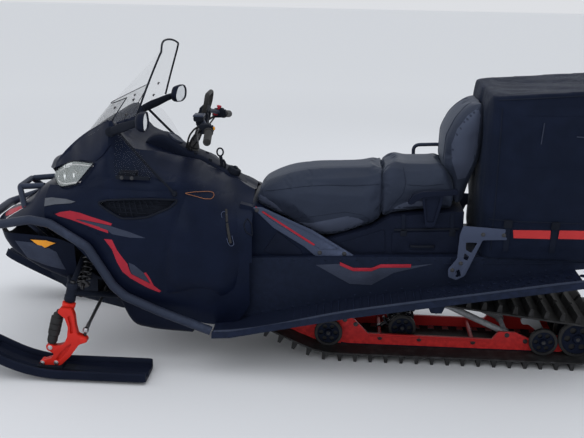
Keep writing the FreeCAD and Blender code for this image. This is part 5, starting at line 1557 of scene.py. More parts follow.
# The front face under the brow, from the lip down to the deck
MASK_ROWS = (
    ((1172, 0, 866), (1158, 62, 868), (1128, 112, 878), (1112, 150, 889)),
    ((1150, 0, 906), (1138, 60, 906), (1108, 108, 910), (1086, 146, 914)),
    ((1106, 0, 921), (1104, 60, 918), (1092, 96, 916), (1072, 132, 925)),
)
piece("brow_mask", sheet_form([whole_row(row) for row in MASK_ROWS], 6.0), gloss_black, "hood")
FACE_ROWS = (
    ((1166, 0, 868), (1150, 55, 868)),
    ((1140, 0, 835), (1132, 56, 835)),
    ((1150, 0, 798), (1140, 60, 798)),
)
piece("nose_face", sheet_form([whole_row(row) for row in FACE_ROWS], 5.0), soft_black, "hood")
print("nose deck faces", len(bpy.data.objects["nose_deck_shell"].data.polygons))

# %% [markdown]
# A headlight is a clear lens over a dark tub, with bright bowls and a light bar inside. The lens is
# swollen a little, so that it catches a long reflection.

# %% Headlights
LENS_TOP = ((1124, 56, 864), (1106, 150, 874), (1011, 210, 935), (884, 288, 948))
LENS_LOW = ((1128, 56, 834), (1108, 150, 826), (1048, 266, 828), (964, 306, 852))


LENS_STEPS = 8
LENS_WAY = Vector((0.80, 0.55, 0.24)).normalized()
lens_top = curve_through(LENS_TOP, LENS_STEPS)
lens_low = curve_through(LENS_LOW, LENS_STEPS)


def lens_rows(inward, swell=0.0):
    """Rows of the headlight's surface, moved in towards the machine's middle line."""
    rows = []
    for step in range(LENS_STEPS + 1):
        share = step / LENS_STEPS
        out = swell * math.sin(math.pi * share) - inward
        rows.append([tuple(b * share + a * (1 - share) + LENS_WAY * out)
                     for a, b in zip(lens_low, lens_top)])
    return rows


def lens_point(along, up, inward):
    row = lens_rows(inward)[round(up * LENS_STEPS)]
    return Vector(row[round(along * (len(row) - 1))])


def lens_sheet(inward, swell, thickness):
    return thickened(skin(lens_rows(inward, swell)), thickness, 0.0)


lens_rim = swept(way_of(lens_low + lens_top[::-1]), 3.4, sides=8, closed=True)
LAMP_WAY = Vector((0.86, 0.46, 0.02)).normalized()
bowls = []
for along, up, size in ((0.30, 0.5, 22.0), (0.55, 0.5, 30.0), (0.76, 0.5, 22.0)):
    centre = lens_point(along, up, 20.0) * MILLI
    start = centre - LAMP_WAY * 0.026
    end = centre + LAMP_WAY * 0.004
    bowl = ((0.0, 5), (0.2, size * 0.72), (1.0, size), (1.0, size - 2.5), (0.3, size * 0.62),
            (0.25, 6), (0.7, 6), (0.75, 1))
    bowls.append(turned(start, end, bowl, 20))
light_bar = swept([Vector(p) * MILLI for p in lens_rows(10.0)[1]][6:], 3.2, sides=8)
upper_bar = swept([Vector(p) * MILLI for p in lens_rows(9.0)[7]][10:], 2.2, sides=8)
baffles = []
for along in (0.42, 0.66):
    rows = [[tuple(lens_point(along, step / LENS_STEPS, inward)) for step in range(LENS_STEPS + 1)]
            for inward in (8.0, 36.0)]
    baffles.append(thickened(skin(rows), 3.0, 0.0))
both("lens", lens_sheet(0.0, 5.0, 2.5), lens_clear, "headlights", stands=True)
both("lens_tub", lens_sheet(36.0, 0.0, 3.0), grey_trim, "headlights")
both("lens_bowls", joined(*bowls), mirror_silver, "headlights")
both("lens_bars", joined(light_bar, upper_bar), white_trim, "headlights")
both("lens_baffles", joined(*baffles), pale_trim_and_painted_reflection, "headlights")
both("lens_rim", lens_rim, soft_black, "headlights")
print("headlight pieces", 6)

# %% Nose trims, lower nose and its reflectors
NOSE_STRIPE = [(1392, 636), (1372, 652), (1330, 674), (1262, 708), (1252, 704), (1318, 664), (1366, 640)]
LOWER_ROWS = (
    ((1402, 88, 590), (1396, 78, 566), (1388, 64, 542)),
    ((1326, 266, 602), (1318, 256, 556), (1300, 226, 508)),
    ((1197, 290, 600), (1190, 284, 520), (1180, 260, 442)),
    ((1076, 298, 590), (1072, 294, 490), (1066, 266, 394)),
    ((992, 294, 560), (990, 282, 455), (988, 248, 352)),
)


def around_belly(rows):
    """Rows over the left side, under the middle and up the right side."""
    whole = []
    for row in rows:
        x, y, z = row[-1]
        under = [(x, y * 0.5, z - 8), (x, 0, z - 10), (x, -y * 0.5, z - 8)]
        whole.append(list(row) + under + [(a, -b, c) for a, b, c in reversed(row)])
    return whole


lower_nose = sheet_form(around_belly(LOWER_ROWS), 5.0, across=4, along=6)
lower_tree = BVHTree.FromBMesh(lower_nose)
piece("lower_nose_shell", lower_nose, grained_black, "lower_nose", stands=True)
FACET = [(1275, 566), (1149, 559), (1075, 521), (1040, 432), (1129, 449), (1222, 478)]
both("lower_facet", draped(FACET, lower_tree, lift=5.0, rim=6.0, roll=4.0), grey_trim, "lower_nose")
both("nose_stripe", draped(NOSE_STRIPE, deck_tree, lift=2.2), red_trim, "nose_deck")
stripe_top = [(1410, 628), (1380, 652), (1330, 682), (1262, 715), (1268, 722), (1335, 690), (1386, 660)]
both("nose_stripe_pale", draped(stripe_top, deck_tree, lift=2.2), white_trim, "nose_deck")
REFLECTOR = [(1203, 579), (1120, 580), (1073, 567), (1140, 532)]
both("reflector_rim", welt(REFLECTOR, lower_tree, 3.0, 2.0, closed=True), soft_black, "lower_nose")
slats = [plate([(1320, z + 19), (1392, z + 5), (1392, z), (1320, z + 14)], -60, 60)
         for z in (621, 607, 593)]
piece("nose_slats", joined(*slats), soft_black, "lower_nose")
ribs = [swept(way_of([(1345 - 4 * k, y, 675), (1260, y, 728), (1190, y, 778)]), 3.0, sides=6)
        for k, y in enumerate((-64, -32, 0, 32, 64))]
piece("nose_ribs", joined(*ribs), gloss_black, "nose_deck")
print("lower nose done")
# %% [markdown]
# ## Windscreen, deflectors and mirrors
#
# Clear plastic nearly vanishes against a pale sky, so what tells the eye that it is there is its
# black edge trim, a tinted foot and a faint reflection. The trim is a thin bead that follows the
# sheet's own border.

# %% Windscreen
SCREEN_ROWS = (
    ((1009, 0, 996), (950, 165, 1030), (803, 270, 1124), (672, 322, 1178)),
    ((826, 0, 1216), (795, 130, 1228), (715, 228, 1262), (632, 280, 1300)),
    ((643, 0, 1409), (632, 100, 1410), (612, 180, 1412), (592, 232, 1412)),
    ((604, 0, 1478), (598, 90, 1474), (588, 158, 1462), (580, 206, 1446)),
)
screen_rows = [whole_row(row) for row in SCREEN_ROWS]
piece("screen_sheet", sheet_form(screen_rows, 4.0, 0.0), screen_clear, "windscreen", stands=True)
fine_rows = smooth_rows(screen_rows, 6, 6)
last = len(fine_rows[0]) - 1
border = [row[0] for row in fine_rows] + fine_rows[-1][1:-1] + [row[last] for row in reversed(fine_rows)]
trim_path = softened([tuple(p) for p in border[::3]] + [tuple(border[-1])], 30.0)
piece("screen_trim", swept(trim_path, 4.6, sides=8), soft_black, "windscreen")


def set_off(rows, out):
    """The same rows moved a little outwards from the rider."""
    way = Vector((0.80, 0.0, 0.60)) * out
    return [[tuple(Vector(p) + way) for p in row] for row in rows]


FOOT_SHARE = 6
foot_rows = set_off([row[6:-6] for row in fine_rows[:FOOT_SHARE]], 6.0)
piece("screen_foot", thickened(skin(foot_rows), 3.0, 0.0), screen_tint, "windscreen")
foot_edge = [row[0] for row in foot_rows] + foot_rows[-1][1:-1] + [row[-1] for row in reversed(foot_rows)]
piece("screen_foot_edge", swept(way_of(foot_edge), 2.2, sides=6), soft_black, "windscreen")
screen_bolts = []
for row in (fine_rows[1], fine_rows[4]):
    for k in (3, 9, -10, -4):
        screen_bolts.append(Vector(row[k]) * MILLI)
piece("screen_bolts", bolts(screen_bolts, (0.8, 0.0, 0.6), 5.5, 6.0), dark_bolt, "windscreen")
print("screen rows", len(fine_rows), "columns", last + 1)

# %% Deflectors on their feet
DEFLECTOR = [(770, 905), (764, 1050), (745, 1108), (700, 1095), (645, 1020), (596, 930), (600, 902)]
clear_plate = plate(rounded(DEFLECTOR, 26.0), 374.0, 378.0, bevel=0.8)
both("deflector_sheet", clear_plate, deflector_clear, "deflectors", stands=True)
deflector_foot = joined(
    plate(rounded([(672, 902), (672, 930), (752, 930), (752, 902)], 6.0), 300.0, 373.0, bevel=2.0),
    plate(rounded([(612, 900), (612, 914), (762, 916), (762, 900)], 5.0), 369.0, 382.0, bevel=2.0),
)
both("deflector_foot", deflector_foot, soft_black, "deflectors")
deflector_bolts = bolts([mm(690, 381, 907), mm(735, 381, 908)], (0, 1, 0), 6.0, 5.0)
both("deflector_bolts", deflector_bolts, dark_bolt, "deflectors")

# %% [markdown]
# Each mirror is a shell round a glass. The shell's outline is one rounded hexagon, scaled at a few
# depths; the glass sits 4 mm inside its rim, facing the rider. The arm is a flat moulded blade.

# %% Mirrors, their arms and the thin stays
MIRROR_CENTRE = mm(628, 422, 1169)
MIRROR_TURNS = {"left": math.radians(1.0), "right": math.radians(16.0)}
MIRROR_OUTLINE = rounded([(-66, -8), (-50, -38), (18, -44), (62, -26), (66, 16), (40, 42), (-36, 40)], 20.0)


def mirror_ring(depth, scale, turn):
    swing = Matrix.Rotation(turn, 4, "Z")
    return [MIRROR_CENTRE + swing @ mm(depth, across * scale, up * scale) for across, up in MIRROR_OUTLINE]


SHELL_RINGS = ((-12, 0.88), (-20, 0.93), (-20, 1.0), (-14, 1.03), (2, 1.0), (14, 0.86), (21, 0.6),
               (23, 0.3))
for label, turn in MIRROR_TURNS.items():
    shell = bridged([mirror_ring(depth, scale, turn) for depth, scale in SHELL_RINGS])
    glass = bridged([mirror_ring(depth, 0.90, turn) for depth in (-15.5, -12.5)])
    if label == "right":
        shell = mirrored(shell)
        glass = mirrored(glass)
    piece("mirror_shell_" + label, shell, grained_black, "mirrors", stands=True, smooth=40)
    piece("mirror_glass_" + label, glass, mirror_silver, "mirrors")
ARM_ROWS = (  # x, y, z along the arm's middle, half height, half thickness
    (806, 296, 1092, 12, 7), (788, 308, 1102, 20, 9), (752, 330, 1118, 23, 9), (712, 356, 1134, 21, 8),
    (676, 380, 1150, 18, 8), (646, 398, 1160, 15, 7), (634, 404, 1163, 10, 5),
)


def blade_ring(x, y, z, tall, thick):
    return [mm(x + thick * 0.6 * math.cos(t), y + thick * math.cos(t), z + tall * math.sin(t))
            for t in around(16)]


arm = bridged([blade_ring(*row) for row in ARM_ROWS])
knuckle = turned(mm(800, 284, 1094), mm(800, 312, 1098), ((0, 19), (0.3, 23), (0.8, 22), (1.0, 14)), 20)
both("mirror_arm", joined(arm, knuckle), soft_black, "mirrors", smooth=50)
stay = pipe(((767, 316, 1106), (700, 328, 1034), (600, 346, 930), (506, 364, 840)), 6.5, 60.0, 10, 0.55)
stay_foot = turned(mm(504, 352, 836), mm(504, 372, 836), ((0, 12), (0.6, 12), (1.0, 8)), 16)
both("mirror_stay", joined(stay, stay_foot), soft_black, "mirrors")
print("mirrors done")
# %% [markdown]
# ## Console, bar and controls
#
# The cockpit is busy but small: a humped console with a dial, a post with its clamp, a bent bar,
# grips, levers, switch blocks and a bundle of cables. Each is a simple form, with its edges eased.
# What turns with the bar rides on the bar's own body.

# %% Console with its dial, cap and key post
CONSOLE_TOP = ((704, 996), (686, 1022), (650, 1040), (612, 1042), (575, 1024), (540, 1000),
               (504, 979), (446, 953), (407, 936), (374, 916), (335, 893), (291, 871), (255, 849),
               (215, 806), (180, 778))
console_rows = [whole_row([(x, 0, z), (x, 34, z - 1), (x, 52, z - 7), (x, 61, z - 26), (x, 64, z - 84)])
                for x, z in CONSOLE_TOP]
piece("console_top", sheet_form(console_rows, 4.0, -1.0), grained_black, "console", stands=True)
dial_low = mm(566, 0, 1012)
dial_way = Vector((-0.56, 0, 0.83)).normalized()
dial_profile = ((0, 38), (0.6, 40), (0.9, 39), (0.9, 33), (0.7, 32))
dial_glass = round_bar(dial_low + dial_way * 0.009, dial_low + dial_way * 0.0115, 33, 32)
piece("dial_rim", turned(dial_low, dial_low + dial_way * 0.014, dial_profile, 32), grey_trim, "console")
piece("dial_glass", dial_glass, screen_tint, "console")
cap_low = mm(282, 26, 862)
cap_way = Vector((-0.42, 0, 0.9)).normalized()
cap = joined(turned(cap_low, cap_low + cap_way * 0.026, ((0, 33), (0.55, 34), (0.9, 31), (1.0, 24)), 24),
             turned(cap_low, cap_low + cap_way * 0.034, ((0, 12), (0.9, 12), (1.0, 9)), 12))
piece("console_cap", cap, soft_black, "console")
ring = [mm(344 + 15 * math.cos(t), 34, 962 + 19 * math.sin(t)) for t in around(20)]
key = joined(
    swept(ring, 4.0, sides=8, closed=True),
    pipe(((334, 30, 885), (338, 32, 925), (343, 34, 944)), 8.0, 12.0),
    pipe(((322, 32, 880), (318, 34, 908), (330, 36, 926)), 5.0, 12.0),
)
piece("key_post", key, soft_black, "console")
knobs = [turned(mm(x, y, z - 6), mm(x - 4, y, z + 8), ((0, 9), (0.7, 9), (1, 7)), 14)
         for x, y, z in ((462, 46, 952), (420, -44, 936), (392, 44, 922))]
piece("console_knobs", joined(*knobs), soft_black, "console")
folds = ((0, 40), (0.3, 34), (0.4, 37), (0.6, 28), (0.7, 31), (1, 19))
gaiter = turned(mm(494, 0, 930), mm(470, 0, 1004), folds, 24)
piece("post_gaiter", gaiter, grip_rubber, "console")
print("console stations", len(CONSOLE_TOP))

# %% Post, clamp and bar
post = round_bar(mm(500, 0, 905), mm(444, 0, 1083), 13.5, 20)
CLAMP_SIDE = rounded([(404, 1098), (446, 1098), (452, 1140), (440, 1160), (408, 1160), (396, 1140)], 9.0)
clamp = joined(plate(CLAMP_SIDE, -52, -22, bevel=3.0), plate(CLAMP_SIDE, 22, 52, bevel=3.0),
               plate(rounded([(408, 1078), (452, 1078), (448, 1126), (404, 1126)], 8.0), -44, 44, bevel=3.0))
piece("post_shaft", post, dark_bolt, "steering_post", stands=True)
piece("bar_clamp", clamp, soft_black, "steering_post")
clamp_bolts = [mm(x, y, 1159) for x in (412, 436) for y in (-37, 37)]
piece("clamp_bolts", bolts(clamp_bolts, (0, 0, 1), 5.0, 6.0), dark_bolt, "steering_post")
BAR = ((354, -372, 1076), (366, -250, 1098), (424, -105, 1140), (424, 105, 1140), (366, 250, 1098),
       (354, 372, 1076))
HOOP = ((420, -64, 1140), (404, -74, 1190), (398, -72, 1238), (398, 72, 1238), (404, 74, 1190),
        (420, 64, 1140))
piece("bar_tube", pipe(BAR, 11.0, 40.0, 16), tube_paint, "handlebar", stands=True)
piece("bar_hoop", pipe(HOOP, 11.0, 30.0, 14, 0.8), grip_rubber, "handlebar")
PAD = [(396, 1150), (438, 1150), (440, 1172), (426, 1180), (404, 1178)]
pad = plate(rounded(PAD, 9.0), -50, 50, bevel=4.0)
piece("bar_pad", pad, soft_black, "handlebar")

# %% Grips, levers and switch blocks
GRIP_PROFILE = ((0.0, 15), (0.0, 21), (0.03, 22), (0.06, 21), (0.07, 17), (0.2, 18), (0.22, 17),
                (0.38, 18), (0.4, 17), (0.56, 18), (0.58, 17), (0.74, 18), (0.76, 17.5), (0.93, 18),
                (0.98, 17), (1.0, 12))
grip = turned(mm(366, 248, 1098), mm(354, 376, 1076), GRIP_PROFILE, 20)
both("grip", grip, grip_rubber, "grips", stands=True)
switch = joined(
    plate(rounded([(354, 1086), (408, 1084), (412, 1128), (360, 1131)], 10.0), 198, 238, bevel=5.0),
    plate(rounded([(346, 1094), (362, 1092), (362, 1122), (350, 1124)], 5.0), 204, 232, bevel=3.0),
)
both("switch_block", switch, soft_black, "controls", stands=True)
LEVER = ((398, 226, 1104), (412, 256, 1096), (408, 300, 1084), (396, 350, 1072))
lever = joined(swept(softened(LEVER, 30.0), 8.0, 12, 0.5, taper=lambda t: 1.1 - 0.35 * t),
               turned(mm(404, 214, 1098), mm(404, 234, 1100), ((0, 14), (0.5, 15), (1, 12)), 16))
both("lever", lever, dark_bolt, "controls")
tank = joined(plate(rounded([(400, 1132), (444, 1132), (446, 1154), (398, 1154)], 7.0), 124, 186, bevel=4.0),
              plate(rounded([(402, 1108), (436, 1108), (440, 1134), (404, 1134)], 6.0), 134, 160, bevel=3.0))
piece("brake_tank", tank, soft_black, "controls")
lid = plate(rounded([(397, 1154), (447, 1154), (446, 1162), (400, 1162)], 3.0), 122, 188, bevel=2.5)
piece("brake_tank_lid", lid, grey_trim, "controls")
stop_knob = joined(
    turned(mm(384, -206, 1126), mm(380, -206, 1146), ((0, 7), (0.5, 8), (0.6, 12), (0.95, 11), (1, 8)), 18),
    turned(mm(392, -204, 1106), mm(404, -188, 1108), ((0, 10), (0.8, 10), (1, 7)), 16),
)
piece("stop_knob", stop_knob, red_trim, "controls")
HEAT_SWITCH = [(340, 1104), (352, 1103), (352, 1116), (342, 1117)]
heat_switch = plate(rounded(HEAT_SWITCH, 2.5), 206, 226, bevel=1.5)
piece("heat_switch", heat_switch, amber_lens, "controls")
CABLES = (
    (5.5, ((404, 206, 1092), (440, 160, 1070), (476, 84, 1020), (496, 40, 968), (508, 30, 925))),
    (4.5, ((410, 150, 1112), (452, 112, 1086), (488, 56, 1040), (504, 30, 985), (516, 24, 935))),
    (4.0, ((404, 196, 1086), (426, 140, 1040), (462, 66, 1000), (486, 34, 960), (498, 20, 925))),
    (5.5, ((404, -206, 1092), (446, -150, 1072), (480, -70, 1020), (498, -34, 968), (508, -24, 925))),
    (4.0, ((404, -196, 1086), (430, -130, 1050), (470, -60, 1010), (490, -24, 960), (500, -20, 925))),
)
cables = joined(*[pipe(way, radius, 60.0, 8) for radius, way in CABLES])
piece("bar_cables", cables, grip_rubber, "handlebar")
print("cables", len(CABLES))

# %% [markdown]
# ## Skis and their legs
#
# A ski is one section, with its two side rims and a shallow keel, carried along the sole's line:
# flat, then an arc, then straight up to the tip. The leg is a forging: a plate with pockets, so it
# is built as an outer frame with a thinner web between.

# %% Skis with their runners and saddles
HALF_SKI = [(60, 0), (86, 3), (88, 9), (88, 39), (84, 44), (78, 44), (74, 39), (72, 18), (42, 12),
            (26, 13), (19, 24)]
SKI_SECTION = [(-out, up) for out, up in HALF_SKI[1:]] + HALF_SKI[:0:-1] + [(60, 0), (-60, 0)]
SKI_MIDDLE = 500
SOLE = 12.0  # height of the section's keel over the ground, where the ski lies flat
SKI_BEND_AT = 1000
SKI_BEND = 640
SKI_TAIL = ((609, 0.90), (616, 0.97), (632, 1.0), (760, 1.0), (900, 1.0))  # x and share of the width
SKI_TIP = ((1340, 1.0), (1420, 1.0), (1490, 0.98), (1545, 0.94), (1585, 0.86), (1608, 0.76), (1620, 0.62))
ski_places = [(x, SOLE, 0.0, width) for x, width in SKI_TAIL]
for k in range(11):
    lean = math.radians(2.5 * k)
    rise = SKI_BEND * (1 - math.cos(lean))
    ski_places.append((SKI_BEND_AT + SKI_BEND * math.sin(lean), SOLE + rise, lean, 1.0))
bend_x, bend_z, tip_lean = ski_places[-1][:3]


def tip_height(x):
    return bend_z + (x - bend_x) * math.tan(tip_lean)


for x, width in SKI_TIP:
    ski_places.append((x, tip_height(x), tip_lean, width))
ski_rings = [
    [mm(x - math.sin(lean) * up, SKI_MIDDLE + out * width, z + math.cos(lean) * up)
     for out, up in SKI_SECTION]
    for x, z, lean, width in ski_places
]
nose_bars = [
    swept([mm(x - 8, y, tip_height(x) + 18) for y in (SKI_MIDDLE - 72, SKI_MIDDLE + 72)], 7.0, 8, 0.6)
    for x in (1330, 1400, 1470, 1540)
]
saddle = joined(
    plate(rounded([(1000, 22), (1130, 22), (1122, 50), (1010, 50)], 8.0), 466, 534, bevel=4.0),
    plate(rounded([(880, 22), (1000, 22), (1000, 40), (900, 32)], 5.0), 474, 526, bevel=4.0),
)
runner = plate(rounded([(742, 12), (752, 1), (1108, 1), (1120, 14)], 8.0), 494, 506, bevel=1.0)


def each(name, form, finish, node, stands=False):
    """The same piece for the left and the right one of a pair of nodes."""
    for label, made in (("right", mirrored(form)), ("left", form)):
        own = node + "_" + label
        piece(name + "_" + label, made, finish, own, stands)


each("ski_shell", joined(bridged(ski_rings), *nose_bars), grained_black, "ski", True)
each("ski_saddle", saddle, soft_black, "ski")
each("ski_runner", runner, bare_steel, "ski")
print("ski stations", len(ski_places))

# %% Forged legs and their dampers
LEG = [(1014, 50), (1112, 50), (1112, 64), (1056, 84), (1042, 106), (1076, 124), (1078, 150),
       (1030, 143), (996, 154), (978, 190), (972, 240), (984, 282), (1016, 308), (1006, 330),
       (952, 326), (942, 296), (938, 240), (930, 202), (892, 190), (886, 170), (925, 156), (966, 98)]
UPPER_POCKET = [(948, 214), (964, 206), (962, 244), (972, 290), (958, 296), (952, 262)]
LOWER_POCKET = [(958, 160), (982, 118), (1030, 68), (1040, 74), (1016, 110), (980, 148)]
axis = Vector((-0.21, -0.04, 1.0)).normalized()
knuckle_at = mm(975, 462, 345)
pockets = (rounded(UPPER_POCKET, 8.0), rounded(LOWER_POCKET, 8.0))
leg_frame = plate(rounded(LEG, 9.0), 482, 518, holes=pockets, bevel=3.0)
leg_web = plate(rounded(LEG, 9.0), 491, 505)
head = turned(knuckle_at - axis * 0.061, knuckle_at - axis * 0.005,
              ((0, 22), (0.06, 29), (0.30, 30), (0.34, 27), (0.62, 27), (0.66, 30), (0.94, 30), (1, 25)), 28)
bosses = [turned(mm(x, 478, z), mm(x, 522, z), ((0, r * 0.8), (0.05, r), (0.95, r), (1, r * 0.8)), 20)
          for x, z, r in ((1034, 64, 13), (1098, 60, 12), (1058, 138, 14), (906, 178, 14))]
each("leg_forging", joined(leg_frame, leg_web, head, *bosses), spindle_red_paint, "spindle", True)
pin = turned(knuckle_at - axis * 0.010, knuckle_at + axis * 0.098, ((0, 11.5), (0.97, 11.5), (1, 9)), 18)
steering_stud = mm(906, 494, 178)
stud = round_bar(steering_stud, steering_stud + axis * 0.054, 7, 12)
each("leg_pin", joined(pin, stud), dark_bolt, "spindle")
leg_bolts = [mm(1034, 522, 64), mm(1098, 522, 60), mm(1058, 522, 138)]
each("leg_bolts", bolts(leg_bolts, (0, 1, 0), 7.5, 6.0), bright_bolt, "spindle")


def shock(low, high, radius, wire, turns):
    """A damper with its spring: low and high are the eyes' places in metres."""
    way = high - low
    body = radius * 0.6
    seat = ((0, radius * 0.9), (0.3, radius), (0.8, radius), (1, radius * 0.8))
    half_eye = mm(0, 12, 0)
    rod = round_bar(low, low + way * 0.4, radius * 0.3, 14)
    tube = turned(low + way * 0.3, high, ((0, body * 0.8), (0.02, body), (0.9, body), (1, radius * 0.3)), 20)
    seats = [turned(low + way * a, low + way * b, seat, 20) for a, b in ((0.13, 0.17), (0.84, 0.89))]
    eyes = [round_bar(p - half_eye, p + half_eye, radius * 0.45) for p in (low, high)]
    spring = coil(low + way * 0.17, low + way * 0.84, radius * 0.88, wire, turns)
    return joined(rod, tube, *eyes), joined(spring, *seats)


damper_low = mm(1060, 500, 138)
damper_high = mm(1016, 490, 312)
BELLOWS = ((0, 8), (0.10, 9), (0.10, 20), (0.16, 23), (0.30, 23), (0.32, 20), (0.34, 26), (0.46, 27),
           (0.48, 23), (0.50, 27), (0.62, 27), (0.64, 23), (0.66, 27), (0.80, 27), (0.82, 21),
           (0.90, 19), (0.92, 12), (1, 9))
each("leg_damper", turned(damper_low, damper_high, BELLOWS, 24), grip_rubber, "spindle_damper", True)
body, spring = shock(mm(946, 372, 347), mm(950, 130, 583), 30, 5.0, 9)
both("front_damper", body, dark_bolt, "front_shocks", stands=True)
both("front_spring", spring, dark_bolt, "front_shocks")
print("legs done")

# %% Arms, their sleeves and the tie rod ends
hub = knuckle_at + axis * 0.040
upper = knuckle_at + axis * 0.075
ARM_TUBES = ((mm(800, 172, 268), hub, 14), (mm(1080, 96, 400), hub, 14), (mm(975, 99, 520), upper, 12.5))
arm_forms = [turned(a, b, ((0, r), (0.9, r), (1, r * 1.25)), 18) for a, b, r in ARM_TUBES]
sleeve = turned(knuckle_at + axis * 0.001, knuckle_at + axis * 0.089,
                ((0, 23), (0.05, 26), (0.3, 26), (0.33, 23), (0.7, 23), (0.73, 26), (0.95, 26), (1, 20)), 24)
mounts = [turned(a + (b - a) * 0.02, a + (b - a) * 0.10, ((0, r * 1.5), (0.8, r * 1.5), (1, r)), 18)
          for a, b, r in ARM_TUBES]
feet = (ARM_TUBES[0][0], ARM_TUBES[1][0])
web = skin([[(hub + (p - hub) * share) / MILLI for p in feet] for share in (0.12, 0.30)])
web = thickened(web, 6.0, 0.0)
both("front_arm", joined(*arm_forms, sleeve, *mounts, web), frame_paint, "front_arms", stands=True)
low_eye = steering_stud + axis * 0.033
boot = turned(low_eye, low_eye + axis * 0.020, ((0, 11), (0.2, 14), (0.8, 14), (1, 9)), 18)
inner = mm(884, 120, 305)
middle = low_eye + axis * 0.010
rod = turned(middle, inner, ((0.0, 8), (0.05, 10), (0.12, 10), (0.14, 8), (0.86, 8), (0.88, 10), (1, 10)), 14)
each("tie_rod_bar", joined(rod, boot), bare_steel, "tie_rod", True)
print("arm tubes", len(ARM_TUBES))

# %% [markdown]
# ## The side below the seats
#
# Sheet and moulded parts here are flat in the side view, so each is a bevelled plate from its
# outline. Belts, rivets and bolts are what makes such flat parts read at their real size.

# %% Belly pan
BELLY_ROWS = (
    ((775, 340, 362), (775, 330, 332), (773, 300, 302)),
    ((722, 338, 348), (722, 328, 260), (722, 296, 190)),
    ((650, 336, 334), (650, 327, 236), (650, 298, 166)),
    ((578, 334, 320), (578, 326, 222), (578, 300, 158)),
    ((440, 330, 285), (440, 324, 208), (440, 300, 152)),
)
belly = sheet_form(around_belly(BELLY_ROWS), 5.0, across=4, along=4)
piece("belly_shell", belly, grained_black, "belly_pan", stands=True)
belly_ribs = [swept(way_of([(x, -270, 166), (x, 270, 166)]), 5.0, 8) for x in (480, 560, 640)]
piece("belly_ribs", joined(*belly_ribs), grained_black, "belly_pan")

# %% Braces with their red line, and the panel patch before them
BRACE = [(166, 752), (124, 754), (-113, 652), (-308, 537), (-128, 529), (-77, 572), (70, 660)]
BRACE_HOLLOW = [(128, 735), (112, 738), (-108, 640), (-236, 566), (-150, 560), (-92, 594), (62, 682)]
brace = joined(plate(rounded(BRACE, 8.0), 235, 240, bevel=1.5),
               plate(rounded(BRACE, 8.0), 239, 245, holes=(rounded(BRACE_HOLLOW, 12.0),), bevel=1.8))
both("brace", brace, grey_paint, "side_braces", stands=True)
brace_line = plate([(150, 757), (156, 751), (-118, 577), (-126, 584)], 240, 241.5)
both("brace_line", brace_line, red_trim, "side_braces")
brace_bolts = [mm(-148, 245, 546), mm(-262, 245, 545), mm(146, 245, 741)]
both("brace_bolts", bolts(brace_bolts, (0, 1, 0), 7.0, 5.0), dark_bolt, "side_braces")
PATCH = [(115, 540), (50, 640), (-58, 556), (-70, 530), (60, 524)]
both("cover_patch", plate(rounded(PATCH, 8.0), 234, 239, bevel=2.5), grained_black, "tank_cover")

# %% Seat base: lids, recess and belts
FRONT_LID = [(-236, 590), (-444, 664), (-450, 552), (-316, 546)]
REAR_LID = [(-478, 652), (-780, 668), (-786, 564), (-482, 552)]
RECESS = [(-556, 604), (-676, 608), (-680, 572), (-560, 570)]
lids = joined(plate(rounded(FRONT_LID, 14.0), 224, 229, bevel=2.0),
              plate(rounded(REAR_LID, 14.0), 224, 230, holes=(rounded(RECESS, 10.0),), bevel=2.5))
both("base_lid", lids, grained_black, "seat_base")
handle = pipe(((-566, 228, 588), (-590, 236, 589), (-650, 236, 591), (-672, 228, 590)), 6.0, 14.0, 10)
both("base_handle", handle, soft_black, "seat_base")
shelf = plate(rounded([(-486, 668), (-784, 684), (-784, 676), (-486, 660)], 3.0), 222, 234, bevel=1.5)
both("base_shelf", shelf, soft_black, "seat_base")
BELTS = (((-526, 738), (-530, 655)), ((-746, 752), (-752, 662)))
belts = []
buckles = []
for (x, z), (u, w) in BELTS:
    belts.append(plate([(x + 8, z), (x - 8, z), (u - 8, w), (u + 8, w)], 226, 229))
    buckle = rounded([(u + 14, w + 14), (u - 14, w + 14), (u - 14, w - 18), (u + 14, w - 18)], 4.0)
    buckles.append(plate(buckle, 228, 234, bevel=1.5))
both("base_belts", joined(*belts), strap_web, "seat_base")
both("base_buckles", joined(*buckles), soft_black, "seat_base")
print("seat base done")

# %% Hand-holds
GRIP_SIDE = [(-537, 800), (-562, 842), (-600, 858), (-762, 872), (-762, 849), (-612, 834),
             (-584, 818), (-560, 797)]
POST_SIDE = [(-598, 842), (-700, 852), (-690, 790), (-664, 692), (-624, 692), (-612, 780)]
WINDOW = [(-616, 826), (-684, 832), (-660, 716), (-630, 716)]
hold = joined(plate(rounded(GRIP_SIDE, 10.0), 240, 272, bevel=9.0, segments=4),
              plate(rounded(POST_SIDE, 12.0), 226, 266, holes=(rounded(WINDOW, 8.0),), bevel=4.0),
              plate(rounded(WINDOW, 8.0), 226, 258))
both("hand_hold", hold, grained_black, "passenger_handles", stands=True)
GRAB = ((-598, -255, 846), (-590, -255, 966), (-738, -255, 974), (-742, -255, 858))
piece("grab_bar", pipe(GRAB, 9.0, 34.0, 14), tube_paint, "passenger_handles")

